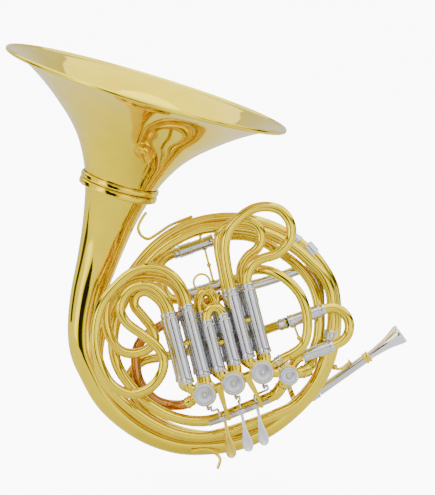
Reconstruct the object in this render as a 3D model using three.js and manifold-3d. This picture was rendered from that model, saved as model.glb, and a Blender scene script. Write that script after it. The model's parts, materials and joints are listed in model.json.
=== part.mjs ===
// A double French horn with a screw bell and four rotary valves, in millimetres, +Z up.
// X runs to the right of the valve side, Y away from it, and the origin is the middle of the coil.
import * as THREE from "three";
import { mergeVertices } from "three/addons/utils/BufferGeometryUtils.js";
import Module from "manifold-3d";

const wasm = await Module();
wasm.setup();

// ---- driving dimensions ----
const GAP = 0.3; // between touching pieces
const TUBE_SIDES = 8;
const MAX_TURN = THREE.MathUtils.degToRad(18); // bend between two rings of a tube
const MAX_NARROWING = 0.87; // radius of one ring over the one before it
const THROAT_R = 35.5; // outer radius of the bell tail at the screw ring
const TAPER_LENGTH = 90;
const TAPER_POWER = 0.75; // the tail narrows as a Bessel horn
const WALL = 0.9;
const RIM_R = 154; // bell rim
const BELL_HEIGHT = 117.4; // screw ring to rim
const BELL_AXIS = new THREE.Vector3(0.291, -0.187, 0.938).normalize();
const RING_CENTRE = new THREE.Vector3(-95, 0, 140.5);
const BRANCH_R = 5.9;
const LOOP_R = 5.5;
const INLET_R = 5.2;
const SLEEVE_R = 6.5;
const SLEEVE_BORE = 5.85;
const LEG_R = 5.35;
const FRONT_Y = -31; // layer of the F slides
const REAR_Y = -16.5; // layer of the B flat slides
const SLIDE_UP = new THREE.Vector3(-0.247, 0, 0.969).normalize();
const LEG_DEPTH = 40; // how far a valve slide's legs enter their sleeves
const ROW_ANGLE = THREE.MathUtils.degToRad(21.06);
const VALVE_PITCH = 32.4;
const FIRST_AXIS = new THREE.Vector3(-1.2, 0, -73.5); // rotor axis of valve 3, at the left of the row
const CASING_FRONT = -41;
const CASING_BACK = 5;
const CASING_R = 12.4;
const THUMB_CASING_R = 10.6;
const AXLE_Z = -32; // lever axle below the row of rotor axes
const AXLE_Y = -24;
const LINK_LENGTH = 16;
const LINK_SIDE = -4.2; // link pins stand this far to the side of the rotor axes

// ---- finishes ----
const brass = new THREE.MeshStandardMaterial({ color: 0xe0bd6c, metalness: 1, roughness: 0.16 });
const roseBrass = new THREE.MeshStandardMaterial({ color: 0xb5703f, metalness: 1, roughness: 0.22 });
const nickel = new THREE.MeshStandardMaterial({ color: 0xcfd0d4, metalness: 1, roughness: 0.2 });
const silver = new THREE.MeshStandardMaterial({ color: 0xe9e9ec, metalness: 1, roughness: 0.15 });
const steel = new THREE.MeshStandardMaterial({ color: 0x9b9da1, metalness: 1, roughness: 0.32 });

const horn = new THREE.Group();

// ---- solids ----
function solidOf(geometry) {
  const bare = geometry.clone();
  bare.deleteAttribute("normal");
  bare.deleteAttribute("uv");
  const merged = mergeVertices(bare, 1e-4);
  return new wasm.Manifold(
    new wasm.Mesh({
      numProp: 3,
      vertProperties: new Float32Array(merged.attributes.position.array),
      triVerts: new Uint32Array(merged.index.array),
    }),
  );
}

function geometryOf(solid) {
  const mesh = solid.getMesh();
  const geometry = new THREE.BufferGeometry();
  geometry.setAttribute("position", new THREE.BufferAttribute(mesh.vertProperties, 3));
  geometry.setIndex(new THREE.BufferAttribute(mesh.triVerts, 1));
  return geometry;
}

function joined(...geometries) {
  return geometries.map(solidOf).reduce((whole, piece) => whole.add(piece));
}

function cut(solid, ...tools) {
  return tools.map(solidOf).reduce((left, tool) => left.subtract(tool), solid);
}

function add(name, shape, material, parent = horn) {
  const geometry = shape.isBufferGeometry ? shape : geometryOf(shape);
  const mesh = new THREE.Mesh(geometry, material);
  mesh.name = name;
  parent.add(mesh);
  return mesh;
}

// ---- bent tubes ----
const vectors = (list) => list.map(([x, y, z]) => new THREE.Vector3(x, y, z));
const flat = (y, list) => list.map(([x, z]) => new THREE.Vector3(x, y, z));

// A smooth route through the points, with straight ends of the given lengths added.
function route(points, leadIn = 0, leadOut = 0) {
  const path = new THREE.CurvePath();
  const bend = points.length > 2
    ? new THREE.CatmullRomCurve3(points, false, "centripetal")
    : new THREE.LineCurve3(points[0], points[1]);
  const [first, second] = points;
  const [beforeLast, last] = points.slice(-2);
  const back = first.clone().sub(second).normalize();
  const ahead = last.clone().sub(beforeLast).normalize();
  if (leadIn > 0) path.add(new THREE.LineCurve3(first.clone().addScaledVector(back, leadIn), first));
  path.add(bend);
  if (leadOut > 0) path.add(new THREE.LineCurve3(last, last.clone().addScaledVector(ahead, leadOut)));
  return path;
}

// Distances along a route where a ring is needed: at both ends of every bend, and
// inside it where it has turned or its tube has narrowed enough.
function rings(path, radiusAt = () => 1) {
  const found = [0];
  let start = 0;
  for (const curve of path.curves) {
    const length = curve.getLength();
    const count = curve.isLineCurve3 ? 0 : Math.floor(length / 1.5);
    let turned = 0;
    let before = curve.getTangentAt(0);
    for (let i = 1; i < count; i++) {
      const s = start + (i * length) / count;
      const tangent = curve.getTangentAt(i / count);
      turned += tangent.angleTo(before);
      before = tangent;
      if (turned > MAX_TURN || radiusAt(s) < MAX_NARROWING * radiusAt(found.at(-1))) {
        found.push(s);
        turned = 0;
      }
    }
    start += length;
    found.push(start);
  }
  return found;
}

// A lathe profile of (radius, distance) points, bent along a route.
function bent(profile, path, sides = TUBE_SIDES) {
  const geometry = new THREE.LatheGeometry(profile, sides);
  const length = path.getLength();
  const position = geometry.attributes.position;
  const point = new THREE.Vector3();
  for (let i = 0; i < position.count; i++) {
    point.fromBufferAttribute(position, i);
    const t = THREE.MathUtils.clamp(point.y / length, 0, 1);
    const tangent = path.getTangent(t).normalize();
    const normal = new THREE.Vector3(0, 1, 0).addScaledVector(tangent, -tangent.y).normalize();
    const side = new THREE.Vector3().crossVectors(normal, tangent);
    const centre = path.getPoint(t);
    centre.addScaledVector(normal, point.x).addScaledVector(side, point.z);
    position.setXYZ(i, centre.x, centre.y, centre.z);
  }
  return geometry;
}

function tube(path, radius, sides = TUBE_SIDES) {
  const stations = rings(path);
  const profile = stations.map((s) => new THREE.Vector2(radius, s));
  profile.unshift(new THREE.Vector2(0, 0));
  profile.push(new THREE.Vector2(0, stations.at(-1)));
  return bent(profile, path, sides);
}

// An open tube whose outer radius is a function of the distance along it.
function openTube(path, radiusAt, wall, sides) {
  const stations = rings(path, radiusAt);
  const outside = stations.map((s) => new THREE.Vector2(radiusAt(s), s));
  const inside = stations.map((s) => new THREE.Vector2(radiusAt(s) - wall, s)).reverse();
  return bent([...outside, ...inside, outside[0].clone()], path, sides);
}

const line = (from, to) => route([from, to]);

// ---- bell: flare and its ring turn off the body ring ----
const bell = new THREE.Group();
bell.position.copy(RING_CENTRE);
bell.quaternion.setFromUnitVectors(new THREE.Vector3(0, 1, 0), BELL_AXIS);
horn.add(bell);

const RING_R = 43;
const BODY_RING_TOP = 6.2;
const FLARE_RING_TOP = 13;
const RING_SEAT_R = 39.4; // bore of the flare's ring, over the body ring's spigot
const RING_EDGE = 1.6;
const BEAD = 2.4;
const FLARE_SIDES = 28;

function lathe(points, sides = 20) {
  return new THREE.LatheGeometry(points.map(([r, y]) => new THREE.Vector2(r, y)), sides);
}

// (radius, height above the body ring) of the flare's outside
const FLARE_OUTLINE = [
  [38.8, 9], [42.5, 18.5], [49, 32], [58, 46.8], [70.5, 61.5], [87, 76.5], [107, 92.4],
  [128, 105.8], [144, 113.5],
];

function flareGeometry() {
  const outside = FLARE_OUTLINE.map(([r, y]) => new THREE.Vector2(r, y));
  const inside = FLARE_OUTLINE.map(([r, y]) => new THREE.Vector2(r - WALL, y + WALL)).reverse();
  const rim = [
    [RIM_R - BEAD, BELL_HEIGHT - 2 * BEAD], [RIM_R, BELL_HEIGHT - BEAD],
    [RIM_R, BELL_HEIGHT - 0.6], [RIM_R - 0.6, BELL_HEIGHT],
    [RIM_R - BEAD - 1, BELL_HEIGHT], [RIM_R - BEAD - 1.6, BELL_HEIGHT - 1.4],
  ].map(([r, y]) => new THREE.Vector2(r, y));
  const profile = [...outside, ...rim, ...inside, outside[0].clone()];
  return new THREE.LatheGeometry(profile, FLARE_SIDES);
}

add("bell_flare", flareGeometry(), brass, bell);
add("flare_ring", lathe([
  [RING_SEAT_R, 6.5], [RING_R - RING_EDGE, 6.5], [RING_R, 8], [RING_R, 11],
  [RING_R - RING_EDGE, FLARE_RING_TOP], [41.2, FLARE_RING_TOP], [RING_SEAT_R, 8.7],
  [RING_SEAT_R, 6.5],
]), brass, bell);
add("body_ring", lathe([
  [35.9, -1], [RING_R - RING_EDGE, -1], [RING_R, 0.8], [RING_R, 4.4],
  [RING_R - RING_EDGE, BODY_RING_TOP], [38.4, BODY_RING_TOP], [38.4, 8.2], [36.4, 8.2], [35.9, -1],
]), brass, bell);

// ---- bell tail and branches ----
const tailPath = route(vectors([
  [-95.6, 0.4, 138.6], [-102, 4, 118], [-109.5, 8, 92.5], [-118.5, 12, 62], [-127.5, 14.5, 30.5],
  [-133, 15, -4], [-132, 15, -31], [-123.5, 15, -54], [-105.5, 15, -86.5], [-70.5, 15, -116.5],
  [-34, 15, -131.5], [-1, 15, -134], [36.5, 15, -129], [69, 15, -114.5], [96.5, 15, -93],
  [116.5, 15, -71], [129.5, 15, -46.5], [137, 15, -20], [139, 15, 9], [135.5, 15, 38.5],
  [123.5, 14, 60.5], [111.5, 13, 76],
]));
const TAIL_SIDES = 14;
const tailRadius = (s) => THROAT_R * (1 + s / TAPER_LENGTH) ** -TAPER_POWER;
add("bell_tail", openTube(tailPath, tailRadius, WALL, TAIL_SIDES), brass);

const firstBranch = route(vectors([
  [111, 13, 76.6], [96, 12, 89], [80, 12, 99], [58, 11, 107.5], [32.5, 10, 112],
  [-1, 10, 109.5], [-32.5, 10, 98], [-58.5, 10, 78.5], [-80, 10.8, 52.5], [-100.5, 8, 20],
  [-113, 2, -14], [-115.5, -3, -40.5], [-109, -4.5, -61.5], [-96, -5, -77.5], [-76, -5, -95],
  [-55.5, -4.5, -108.5], [-31, -4, -119], [-3, -4, -122.5], [23.5, -4, -117], [50.5, -3, -108],
  [76, -3, -98], [94.5, -2, -89], [108, -1.5, -76], [119.5, -1, -58], [127, 0, -38.5],
  [132, 0, -20.5],
]));
add("first_branch", tube(firstBranch, BRANCH_R), brass);

const FERRULE_R = 8.8;
const FERRULE_BORE = 7.9;
const ferrulePath = route(vectors([[115.4, 13.3, 71.8], [107, 12.7, 81.2]]));
add("tail_ferrule", openTube(ferrulePath, () => FERRULE_R, FERRULE_R - FERRULE_BORE, TAIL_SIDES), nickel);

const secondBranch = vectors([
  [132.2, 0, -19.8], [135.5, 0, -3], [135.5, 0, 16], [133, 0, 34.5], [124.5, 0, 51.5],
  [110.5, 0, 65.5], [96.5, 0, 78], [79.5, 0, 88.5], [60, 0, 96.5], [42, 0, 101],
  [20.5, 0, 102], [-6.5, 0, 99], [-32, 0, 88], [-53.5, 0, 72], [-72, 0, 49.5], [-88, -1, 22.5],
  [-97.5, -1, -3], [-99.5, -2, -24.5], [-94.5, -2, -47], [-80.5, -4, -68], [-60, -7.5, -87.5],
  [-38.5, -9, -99], [-17, -9.5, -104.5], [4.5, -10, -104], [36.5, -11, -92.5], [59.5, -12, -83],
  [71, -13, -77.7], [76.5, -15, -73], [80.5, -16, -66.4],
]);
add("second_branch", tube(route(secondBranch), BRANCH_R), brass);

// ---- leadpipe, receiver and mouthpiece ----
const MOUTH = new THREE.Vector3(178, 25, -38);
const RECEIVER_FOOT = new THREE.Vector3(123, 29, -77.5);
const MOUTH_DIRECTION = MOUTH.clone().sub(RECEIVER_FOOT).normalize();
const receiverLength = MOUTH.distanceTo(RECEIVER_FOOT);

add("leadpipe", tube(route(vectors([
  [122.5, 29, -77.9], [98.5, 31, -94.5], [70, 32, -111], [37, 32, -122], [-1.5, 31, -125.5],
  [-37.5, 29, -117], [-67, 25, -98.5], [-82, 21.5, -76], [-82, 20, -56.5], [-68.5, 18.5, -43.5],
  [-52.5, 17, -39.5], [-34, 16, -36], [-1, 14, -27], [31, 12, -18.5], [60, 6, -10],
  [75, -5, -4], [81, -11, -1.8], [87, -13, 0.3],
])), INLET_R), brass);

const mouth = new THREE.Group();
mouth.position.copy(MOUTH);
mouth.quaternion.setFromUnitVectors(new THREE.Vector3(0, 1, 0), MOUTH_DIRECTION);
horn.add(mouth);
add("mouthpiece_receiver", lathe([
  [3.2, -receiverLength], [5.1, -receiverLength], [5.1, -7], [6, -6], [6, -4.6], [5.4, -4],
  [5.4, -2], [6, -1.4], [6, 0], [4.8, 0], [4.2, -26], [3.2, -28], [3.2, -receiverLength],
], 12), nickel, mouth);
const SHANK = 24;
add("mouthpiece", lathe([
  [1.8, -SHANK], [3.7, -SHANK], [4.4, 0], [5.3, 12], [6.8, 24], [9.2, 33], [10.7, 38.6],
  [10.9, 41], [9.8, 42.6], [8.9, 41.8], [8.2, 38], [6.4, 29], [3.6, 15], [1.8, 4],
  [1.8, -SHANK],
], 16), silver, mouth);

// ---- loops between the valves and the slides ----
const extensionRoute = vectors([
  [9.4, 23, 88.9], [17, 22.5, 91.5], [27, 22, 93], [43.5, 20, 92.5], [58.5, 18, 88],
  [74.5, 15, 78.5], [91.5, 11, 66.5], [104.5, 8.5, 54.5], [115, 7, 38.5], [120.5, 5, 20],
  [121.5, 4, 0], [120, 4, -17.5], [116, 3, -30], [113.4, -4.5, -42],
  [108.2, -14.5, -49.3], [101, -20, -51.5],
]);
const inletRoute = vectors([
  [21.6, 23, 41.9], [29, 20, 44.5], [36.5, 11, 48], [44, -1, 53], [54.5, -11, 56.5],
  [70, -18, 54.5], [87, -23, 44.5], [99.5, -25.5, 30], [106, -26, 12], [107, -26, -7],
  [102.5, -26, -23], [92, -26, -31.5], [81.5, -25, -37], [74, -24.5, -42.2],
]);
const returnLower = vectors([
  [-14.1, -10, -81.9], [-22, -8.5, -87], [-38.5, 3, -89], [-52.5, 3, -85],
  [-64.5, 4, -74.5], [-72.5, 6, -62.5], [-75.5, 7, -47.5], [-75, 8, -31.5], [-68, 8, -18],
  [-53, 8, -7], [-31.5, 8, 5], [-4.5, 9, 18], [17, 11, 28],
]);
const returnUpper = vectors([
  [18, 11.2, 28.5], [36.5, 14, 36], [60.5, 18, 42], [85.5, 20, 50], [102, 21, 55.5],
  [112, 21, 53.5], [118.5, 20, 45], [122.5, 19, 34], [123.5, 20, 17.5], [124, 22, -4.5],
  [122, 24, -25], [113, 21, -42], [111, 12.5, -49], [108.4, 3.8, -53],
  [103, 0, -54.4],
]);
add("f_extension_tube", tube(route(extensionRoute), LOOP_R), brass);
add("f_inlet_tube", tube(route(inletRoute), INLET_R), brass);
add("return_tube_lower", tube(route(returnLower), LOOP_R), roseBrass);
add("return_tube_upper", tube(route(returnUpper), LOOP_R), nickel);

// ---- slides: two sleeves with a brace on the horn, and a crook that pulls out of them ----
const BRACE_R = 1.3;
const BRACE_BALL_R = 2.4;
const midpoint = (a, b) => a.clone().add(b).multiplyScalar(0.5);

function sleeves(name, pairs, braceAt) {
  const walls = pairs.map(([foot, top]) => tube(line(foot, top), SLEEVE_R));
  const bores = pairs.map(([foot, top]) => {
    const along = top.clone().sub(foot).normalize();
    const low = foot.clone().addScaledVector(along, -1);
    const high = top.clone().addScaledVector(along, 1);
    return tube(line(low, high), SLEEVE_BORE);
  });
  const braces = braceAt.map((share) => {
    const ends = pairs.map(([foot, top]) => foot.clone().lerp(top, share));
    const ball = new THREE.SphereGeometry(BRACE_BALL_R, 6, 4);
    ball.translate(...midpoint(...ends).toArray());
    return [tube(line(...ends), BRACE_R, 6), ball];
  });
  return add(name, cut(joined(...walls, ...braces.flat()), ...bores), nickel);
}

function ring(centre, radius, wire) {
  const geometry = new THREE.TorusGeometry(radius, wire, 6, 16);
  geometry.rotateX(Math.PI / 2);
  geometry.translate(...centre.toArray());
  return geometry;
}

// The outer pull crooks of the first and third valves, and the smaller ones behind them.
const VALVE_SLIDES = [
  {
    name: "valve_3_f", y: FRONT_Y, feet: [[-0.5, -55], [-18.5, -63]], length: 72,
    bend: [
      [-22.7, 32], [-31, 46], [-45, 56.5], [-62, 59], [-78.5, 53], [-95.5, 38.5], [-109, 20.5],
      [-115.5, -1.5], [-115.5, -24.5], [-109, -47.5], [-97, -65.5], [-78.5, -73.5],
      [-58.5, -67.5], [-46.5, -52], [-44.5, -36], [-52.5, -22.5], [-68, -10.5], [-84, 2],
      [-90, 15.5], [-86, 28.5], [-74.5, 38.5], [-59.5, 40], [-47, 31.5], [-39.4, 18.9],
    ],
  },
  {
    name: "valve_3_bb", y: REAR_Y, feet: [[-6.3, -53.6], [-24.8, -61.6]], length: 68,
    bend: [
      [-28, 31.6], [-40, 44.5], [-57, 49], [-75, 48], [-91, 39.5], [-102, 26.5], [-106, 10.5],
      [-105, -5.5], [-99.5, -19], [-90, -29.5], [-77.5, -32.5], [-63.5, -29], [-54.5, -19],
      [-57, -6.5], [-67, 7], [-76, 19], [-74, 29], [-65.5, 33.5], [-54, 28], [-45, 17.6],
    ],
  },
  {
    name: "valve_2_f", y: FRONT_Y, feet: [[31.5, -43], [15, -50]], length: 50,
    bend: [[17.7, 10.4], [13.6, 16.2], [6.6, 16.8], [1.6, 10.6], [1.3, 3.2]],
    ring: [4.2, 26.6],
  },
  {
    name: "valve_2_bb", y: REAR_Y, feet: [[25.7, -40.1], [9.2, -47.1]], length: 56,
    bend: [[8.9, 23.6], [4.2, 32], [-2.6, 32.4], [-7.5, 25.6], [-6.2, 13.1]],
    ring: [-4.4, 43.2],
  },
  {
    name: "valve_1_f", y: FRONT_Y, feet: [[62.5, -31], [45.5, -36.5]], length: 70,
    bend: [
      [43.1, 46], [45, 55], [50.5, 63.5], [60, 68.5], [75, 73.5], [86.5, 84.5], [90, 97.5],
      [87.5, 108.5], [78.5, 119], [64.5, 123], [49.5, 120.5], [34.5, 110.5], [23.5, 97],
      [20, 80.5], [22, 60], [26, 41],
    ],
  },
  {
    name: "valve_1_bb", y: REAR_Y, feet: [[56.8, -28.6], [39.8, -35]], length: 68,
    bend: [
      [38, 45], [37.5, 58], [44, 70], [54.5, 79], [59, 91.5], [54.5, 102.5], [42.5, 108],
      [27.5, 106], [15.5, 95], [13.5, 79.5], [16.5, 62], [20.4, 41],
    ],
  },
];
const TOP_LEAD = 2.5; // straight run of a crook above its sleeve
const FOOT_CLEARANCE = 14; // least gap from a leg's end to its sleeve's foot

// A crook's route: straight legs in both sleeves, joined by the bend.
function slidePath(tops, bend, along, firstDepth, lastDepth) {
  const [first, last] = tops.map((top) => top.clone().addScaledVector(along, TOP_LEAD));
  return route([tops[0], first, ...bend, last, tops[1]], firstDepth, lastDepth);
}

const SLIDE_RING_R = 8.6;
const SLIDE_RING_WIRE = 1.25;

for (const slide of VALVE_SLIDES) {
  const feet = flat(slide.y, slide.feet);
  const tops = feet.map((foot) => foot.clone().addScaledVector(SLIDE_UP, slide.length));
  slide.feetPoints = feet;
  sleeves(slide.name + "_sleeves", feet.map((foot, i) => [foot, tops[i]]), [0.55]);
  const bend = flat(slide.y, slide.bend);
  const depth = Math.min(LEG_DEPTH, slide.length - FOOT_CLEARANCE);
  const crook = tube(slidePath(tops, bend, SLIDE_UP, depth, depth), LEG_R);
  if (!slide.ring) {
    add(slide.name + "_crook", crook, brass);
    continue;
  }
  const centre = flat(slide.y, [slide.ring])[0];
  add(slide.name + "_crook", joined(crook, ring(centre, SLIDE_RING_R, SLIDE_RING_WIRE)), brass);
}

// The points of a half circle from start, bulging along the slide, to start + across.
const HALF_TURN_STEPS = 6;

function halfTurn(start, along, across) {
  const radius = across.length() / 2;
  return Array.from({ length: HALF_TURN_STEPS + 1 }, (_, step) => {
    const angle = (step * Math.PI) / HALF_TURN_STEPS;
    return start.clone()
      .addScaledVector(across, (1 - Math.cos(angle)) / 2)
      .addScaledVector(along, radius * Math.sin(angle));
  });
}

const MAIN_Y = -13;
const MAIN_ALONG = new THREE.Vector3(0.9386, 0, 0.345).normalize();
const MAIN_SLEEVES = [36, 29];
const MAIN_DEPTHS = [26, 24];
const MAIN_SPACING = 39.6;
const MAIN_LEAD = 5; // straight run before the half turn
const mainFeet = flat(MAIN_Y, [[87.6, 0.6], [103, -36]]);
const mainTops = mainFeet.map((foot, i) => foot.clone().addScaledVector(MAIN_ALONG, MAIN_SLEEVES[i]));
sleeves("main_slide_sleeves", mainFeet.map((foot, i) => [foot, mainTops[i]]), [0.12]);
const mainAcross = new THREE.Vector3(0.345, 0, -0.9386).multiplyScalar(MAIN_SPACING);
const mainStart = mainTops[0].clone().addScaledVector(MAIN_ALONG, MAIN_LEAD);
const mainBend = halfTurn(mainStart, MAIN_ALONG, mainAcross);
const mainPath = slidePath(mainTops, mainBend, MAIN_ALONG, ...MAIN_DEPTHS);
add("main_slide_crook", tube(mainPath, LEG_R), brass);

const F_Y = 23;
const F_ALONG = new THREE.Vector3(-0.9436, 0, -0.331).normalize();
const F_SLEEVE = 40.8;
const F_DEPTH = 34;
const fFeet = flat(F_Y, [[8.5, 88.5], [20.6, 41.6]]);
const fTops = fFeet.map((foot) => foot.clone().addScaledVector(F_ALONG, F_SLEEVE));
sleeves("f_slide_sleeves", fFeet.map((foot, i) => [foot, fTops[i]]), [0.3]);
const fBend = flat(F_Y, [
  [-39.5, 71.7], [-48.5, 64.5], [-51.4, 51], [-47.5, 36], [-39, 25], [-29, 23.6],
]);
const fPath = slidePath(fTops, fBend, F_ALONG, F_DEPTH, F_DEPTH);
add("f_slide_crook", tube(fPath, LEG_R), brass);

// ---- valves, in a frame whose X runs along the row of rotor axes ----
const cluster = new THREE.Group();
cluster.position.copy(FIRST_AXIS);
cluster.rotation.y = -ROW_ANGLE;
horn.add(cluster);
cluster.updateMatrixWorld(true);

const CASING_WALL = 1.7;
const STUB_R = 5.2;
const LINK_LEVELS = [-31, -14]; // short tubes from casing to casing
const LINK_TUBE_R = 4.6;
const STEM_R = 2.3;
const STEM_END = 10;
const PORT_LEAD = 2; // straight run of a port's stub before it bends
const FOOT_LEAD = 5;
const CAP_STEP = 0.7; // a cap is this much smaller than its casing
const VALVES = [
  {
    name: "valve_3", x: 0, z: 0, radius: CASING_R,
    ports: [{ points: returnLower.toReversed(), radius: LOOP_R }],
  },
  { name: "valve_2", x: VALVE_PITCH, z: 0, radius: CASING_R, ports: [] },
  {
    name: "valve_1", x: 2 * VALVE_PITCH, z: 0, radius: CASING_R,
    ports: [{ points: inletRoute, radius: INLET_R }],
  },
  {
    name: "thumb_valve", x: 89.1, z: -13.1, radius: THUMB_CASING_R,
    ports: [
      { points: extensionRoute, radius: LOOP_R }, { points: returnUpper, radius: LOOP_R },
      { points: secondBranch, radius: BRANCH_R },
    ],
  },
];

const inCluster = (point) => cluster.worldToLocal(point.clone());

// A plain cylinder about the valve's axis from one depth to another.
function barrel(radius, front, back, x, z, sides = 20) {
  const geometry = lathe([[0, front], [radius, front], [radius, back], [0, back]], sides);
  geometry.translate(x, 0, z);
  return geometry;
}

// A short tube from just past a tube's end, on along it and round to the valve's axis.
function elbow(end, along, straight, radius, valve) {
  const start = inCluster(end.clone().addScaledVector(along, GAP));
  const turn = inCluster(end.clone().addScaledVector(along, straight));
  const middle = new THREE.Vector3(valve.x, turn.y, valve.z);
  return tube(route([start, turn, middle]), radius);
}

for (const [index, valve] of VALVES.entries()) {
  const stubs = valve.ports.map(({ points, radius }) => {
    const [before, end] = points.slice(-2);
    return elbow(end, end.clone().sub(before).normalize(), PORT_LEAD, radius, valve);
  });
  const down = SLIDE_UP.clone().negate();
  for (const slide of VALVE_SLIDES.filter((one) => one.name.startsWith(valve.name)))
    for (const foot of slide.feetPoints) stubs.push(elbow(foot, down, FOOT_LEAD, STUB_R, valve));
  const next = VALVES[index + 1];
  if (next) {
    const reach = new THREE.Vector3(next.x - valve.x, 0, next.z - valve.z);
    reach.setLength(reach.length() - next.radius - GAP);
    for (const y of LINK_LEVELS) {
      const from = new THREE.Vector3(valve.x, y, valve.z);
      stubs.push(tube(line(from, from.clone().add(reach)), LINK_TUBE_R));
    }
  } else {
    stubs.push(elbow(mainFeet[1], MAIN_ALONG.clone().negate(), FOOT_LEAD, STUB_R, valve));
  }
  const outside = barrel(valve.radius, CASING_FRONT, CASING_BACK, valve.x, valve.z);
  const bore = barrel(valve.radius - CASING_WALL, CASING_FRONT - 1, CASING_BACK - 2, valve.x, valve.z);
  const stemHole = barrel(STEM_R + 0.5, 0, CASING_BACK + 1, valve.x, valve.z, 12);
  add(valve.name + "_casing", cut(joined(outside, ...stubs), bore, stemHole), brass, cluster);

  const capRadius = valve.radius - CAP_STEP;
  const cap = add(valve.name + "_cap", lathe([
    [0, -46.4], [1.6, -46.4], [2.6, -45.4], [3, -44.6], [capRadius - 1.2, -44.6],
    [capRadius, -43.4], [capRadius, CASING_FRONT - GAP], [0, CASING_FRONT - GAP],
  ]), nickel, cluster);
  cap.position.set(valve.x, 0, valve.z);

  const rotorRadius = valve.radius - CASING_WALL - 0.5;
  const rotor = add(valve.name + "_rotor", lathe([
    [0, CASING_FRONT + 1], [rotorRadius, CASING_FRONT + 1], [rotorRadius, CASING_BACK - 2.4],
    [STEM_R, CASING_BACK - 2.4], [STEM_R, STEM_END], [0, STEM_END],
  ], 16), brass, cluster);
  rotor.position.set(valve.x, 0, valve.z);
}

// ---- stop arms, levers and link rods ----
const ARM_FRONT = 6;
const ARM_BACK = 8.6;
const PIN_END = 12.3;
const LINK_Y = 14.5;
const ARM_HALF = 1.9;
const LUG_HALF = 1.7;
const LUG_REACH = 7.4;
const ARM_HUB_R = 4.6;
const ARM_EYE_R = 2.4;
const ARM_PIN_R = 1.4;

function box(x0, x1, y0, y1, z0, z1) {
  const geometry = new THREE.BoxGeometry(x1 - x0, y1 - y0, z1 - z0);
  geometry.translate((x0 + x1) / 2, (y0 + y1) / 2, (z0 + z1) / 2);
  return geometry;
}

function stopArm(valve, pinOffset) {
  const pinX = valve.x - pinOffset;
  const pinZ = valve.z - pinOffset;
  const arm = box(-ARM_HALF, ARM_HALF, ARM_FRONT, ARM_BACK, 0, Math.hypot(pinOffset, pinOffset));
  arm.rotateY(THREE.MathUtils.degToRad(225));
  arm.translate(valve.x, 0, valve.z);
  const lug = box(-LUG_HALF, LUG_HALF, ARM_FRONT, ARM_BACK, 0, LUG_REACH);
  lug.rotateY(THREE.MathUtils.degToRad(45));
  lug.translate(valve.x, 0, valve.z);
  const whole = joined(
    barrel(ARM_HUB_R, ARM_FRONT, ARM_BACK, valve.x, valve.z, 12), arm, lug,
    barrel(ARM_EYE_R, ARM_FRONT, ARM_BACK, pinX, pinZ, 10),
    barrel(ARM_PIN_R, ARM_FRONT, PIN_END, pinX, pinZ, 8),
  );
  const hole = barrel(STEM_R + GAP, ARM_FRONT - 1, ARM_BACK + 1, valve.x, valve.z, 12);
  add(valve.name + "_stop_arm", cut(whole, hole), steel, cluster);
}

// A rod along X, given by its ends, depth and height.
const bar = (x0, x1, y, z, radius, sides = 10) =>
  tube(line(new THREE.Vector3(x0, y, z), new THREE.Vector3(x1, y, z)), radius, sides);

const AXLE_R = 1.7;
const HUB_R = 3.3;
const HUB_BORE = 2.15;
const EYE_BORE = 1.75;
const EYE_R = 2.9;
const EYE_HALF = 1.5;
const ROD_R = 1.25;
const HEAD_R = 2.7;
const HEAD_HALF = 1.1;
const LEVER_ARM_R = 1.5;
const LEVER_PIN_R = 1.35;

function linkRod(name, x, top, length) {
  const eye = bar(x - EYE_HALF, x + EYE_HALF, LINK_Y, top - length, EYE_R);
  const shaft = tube(line(
    new THREE.Vector3(x, LINK_Y, top - length + 2), new THREE.Vector3(x, LINK_Y, top),
  ), ROD_R);
  const head = barrel(HEAD_R, LINK_Y - HEAD_HALF, LINK_Y + HEAD_HALF, x, top, 12);
  const bore = bar(x - 2 * EYE_HALF, x + 2 * EYE_HALF, LINK_Y, top - length, EYE_BORE);
  add(name, cut(joined(eye, shaft, head), bore), steel, cluster);
}

// The curved arm from a lever's hub to its link pin, with the pin.
function leverArm(points, pinX, pinZ) {
  const end = new THREE.Vector3(pinX + 3.6, LINK_Y, pinZ);
  return [
    tube(route([...vectors(points), end]), LEVER_ARM_R),
    bar(pinX - 1.9, pinX + 4.6, LINK_Y, pinZ, LEVER_PIN_R),
  ];
}

const PADDLE_LENGTH = 42;
const PADDLE_END_R = 5.6;
const SHANK_LENGTH = 14; // of a paddle, before it widens
const PLATE = 2; // thickness of paddles and straps
const PADDLE_TILT = THREE.MathUtils.degToRad(-16);
const PADDLE_LEAN = THREE.MathUtils.degToRad(9.6);

function paddle(x) {
  const outline = new THREE.Shape();
  outline.moveTo(-1.7, 1);
  outline.lineTo(-1.9, -SHANK_LENGTH);
  outline.lineTo(-5.4, -PADDLE_LENGTH + 7);
  outline.absarc(0, -PADDLE_LENGTH + 5.8, PADDLE_END_R, Math.PI, 2 * Math.PI, false);
  outline.lineTo(1.9, -SHANK_LENGTH);
  outline.lineTo(1.7, 1);
  const geometry = new THREE.ExtrudeGeometry(outline, {
    depth: PLATE, bevelEnabled: false, curveSegments: 6,
  });
  geometry.rotateX(Math.PI / 2);
  geometry.rotateX(PADDLE_TILT);
  geometry.rotateY(PADDLE_LEAN);
  geometry.translate(x, AXLE_Y, AXLE_Z - 1.6);
  return geometry;
}

const FINGER_LEVERS = [
  { number: 3, hub: [5, 12.5], paddleX: 9.7, armX: 6.5, finish: brass },
  { number: 2, hub: [24, 33], paddleX: 28.8, armX: 30, finish: silver },
  { number: 1, hub: [41.5, 49], paddleX: 46.4, armX: 47.5, finish: silver },
];

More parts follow.
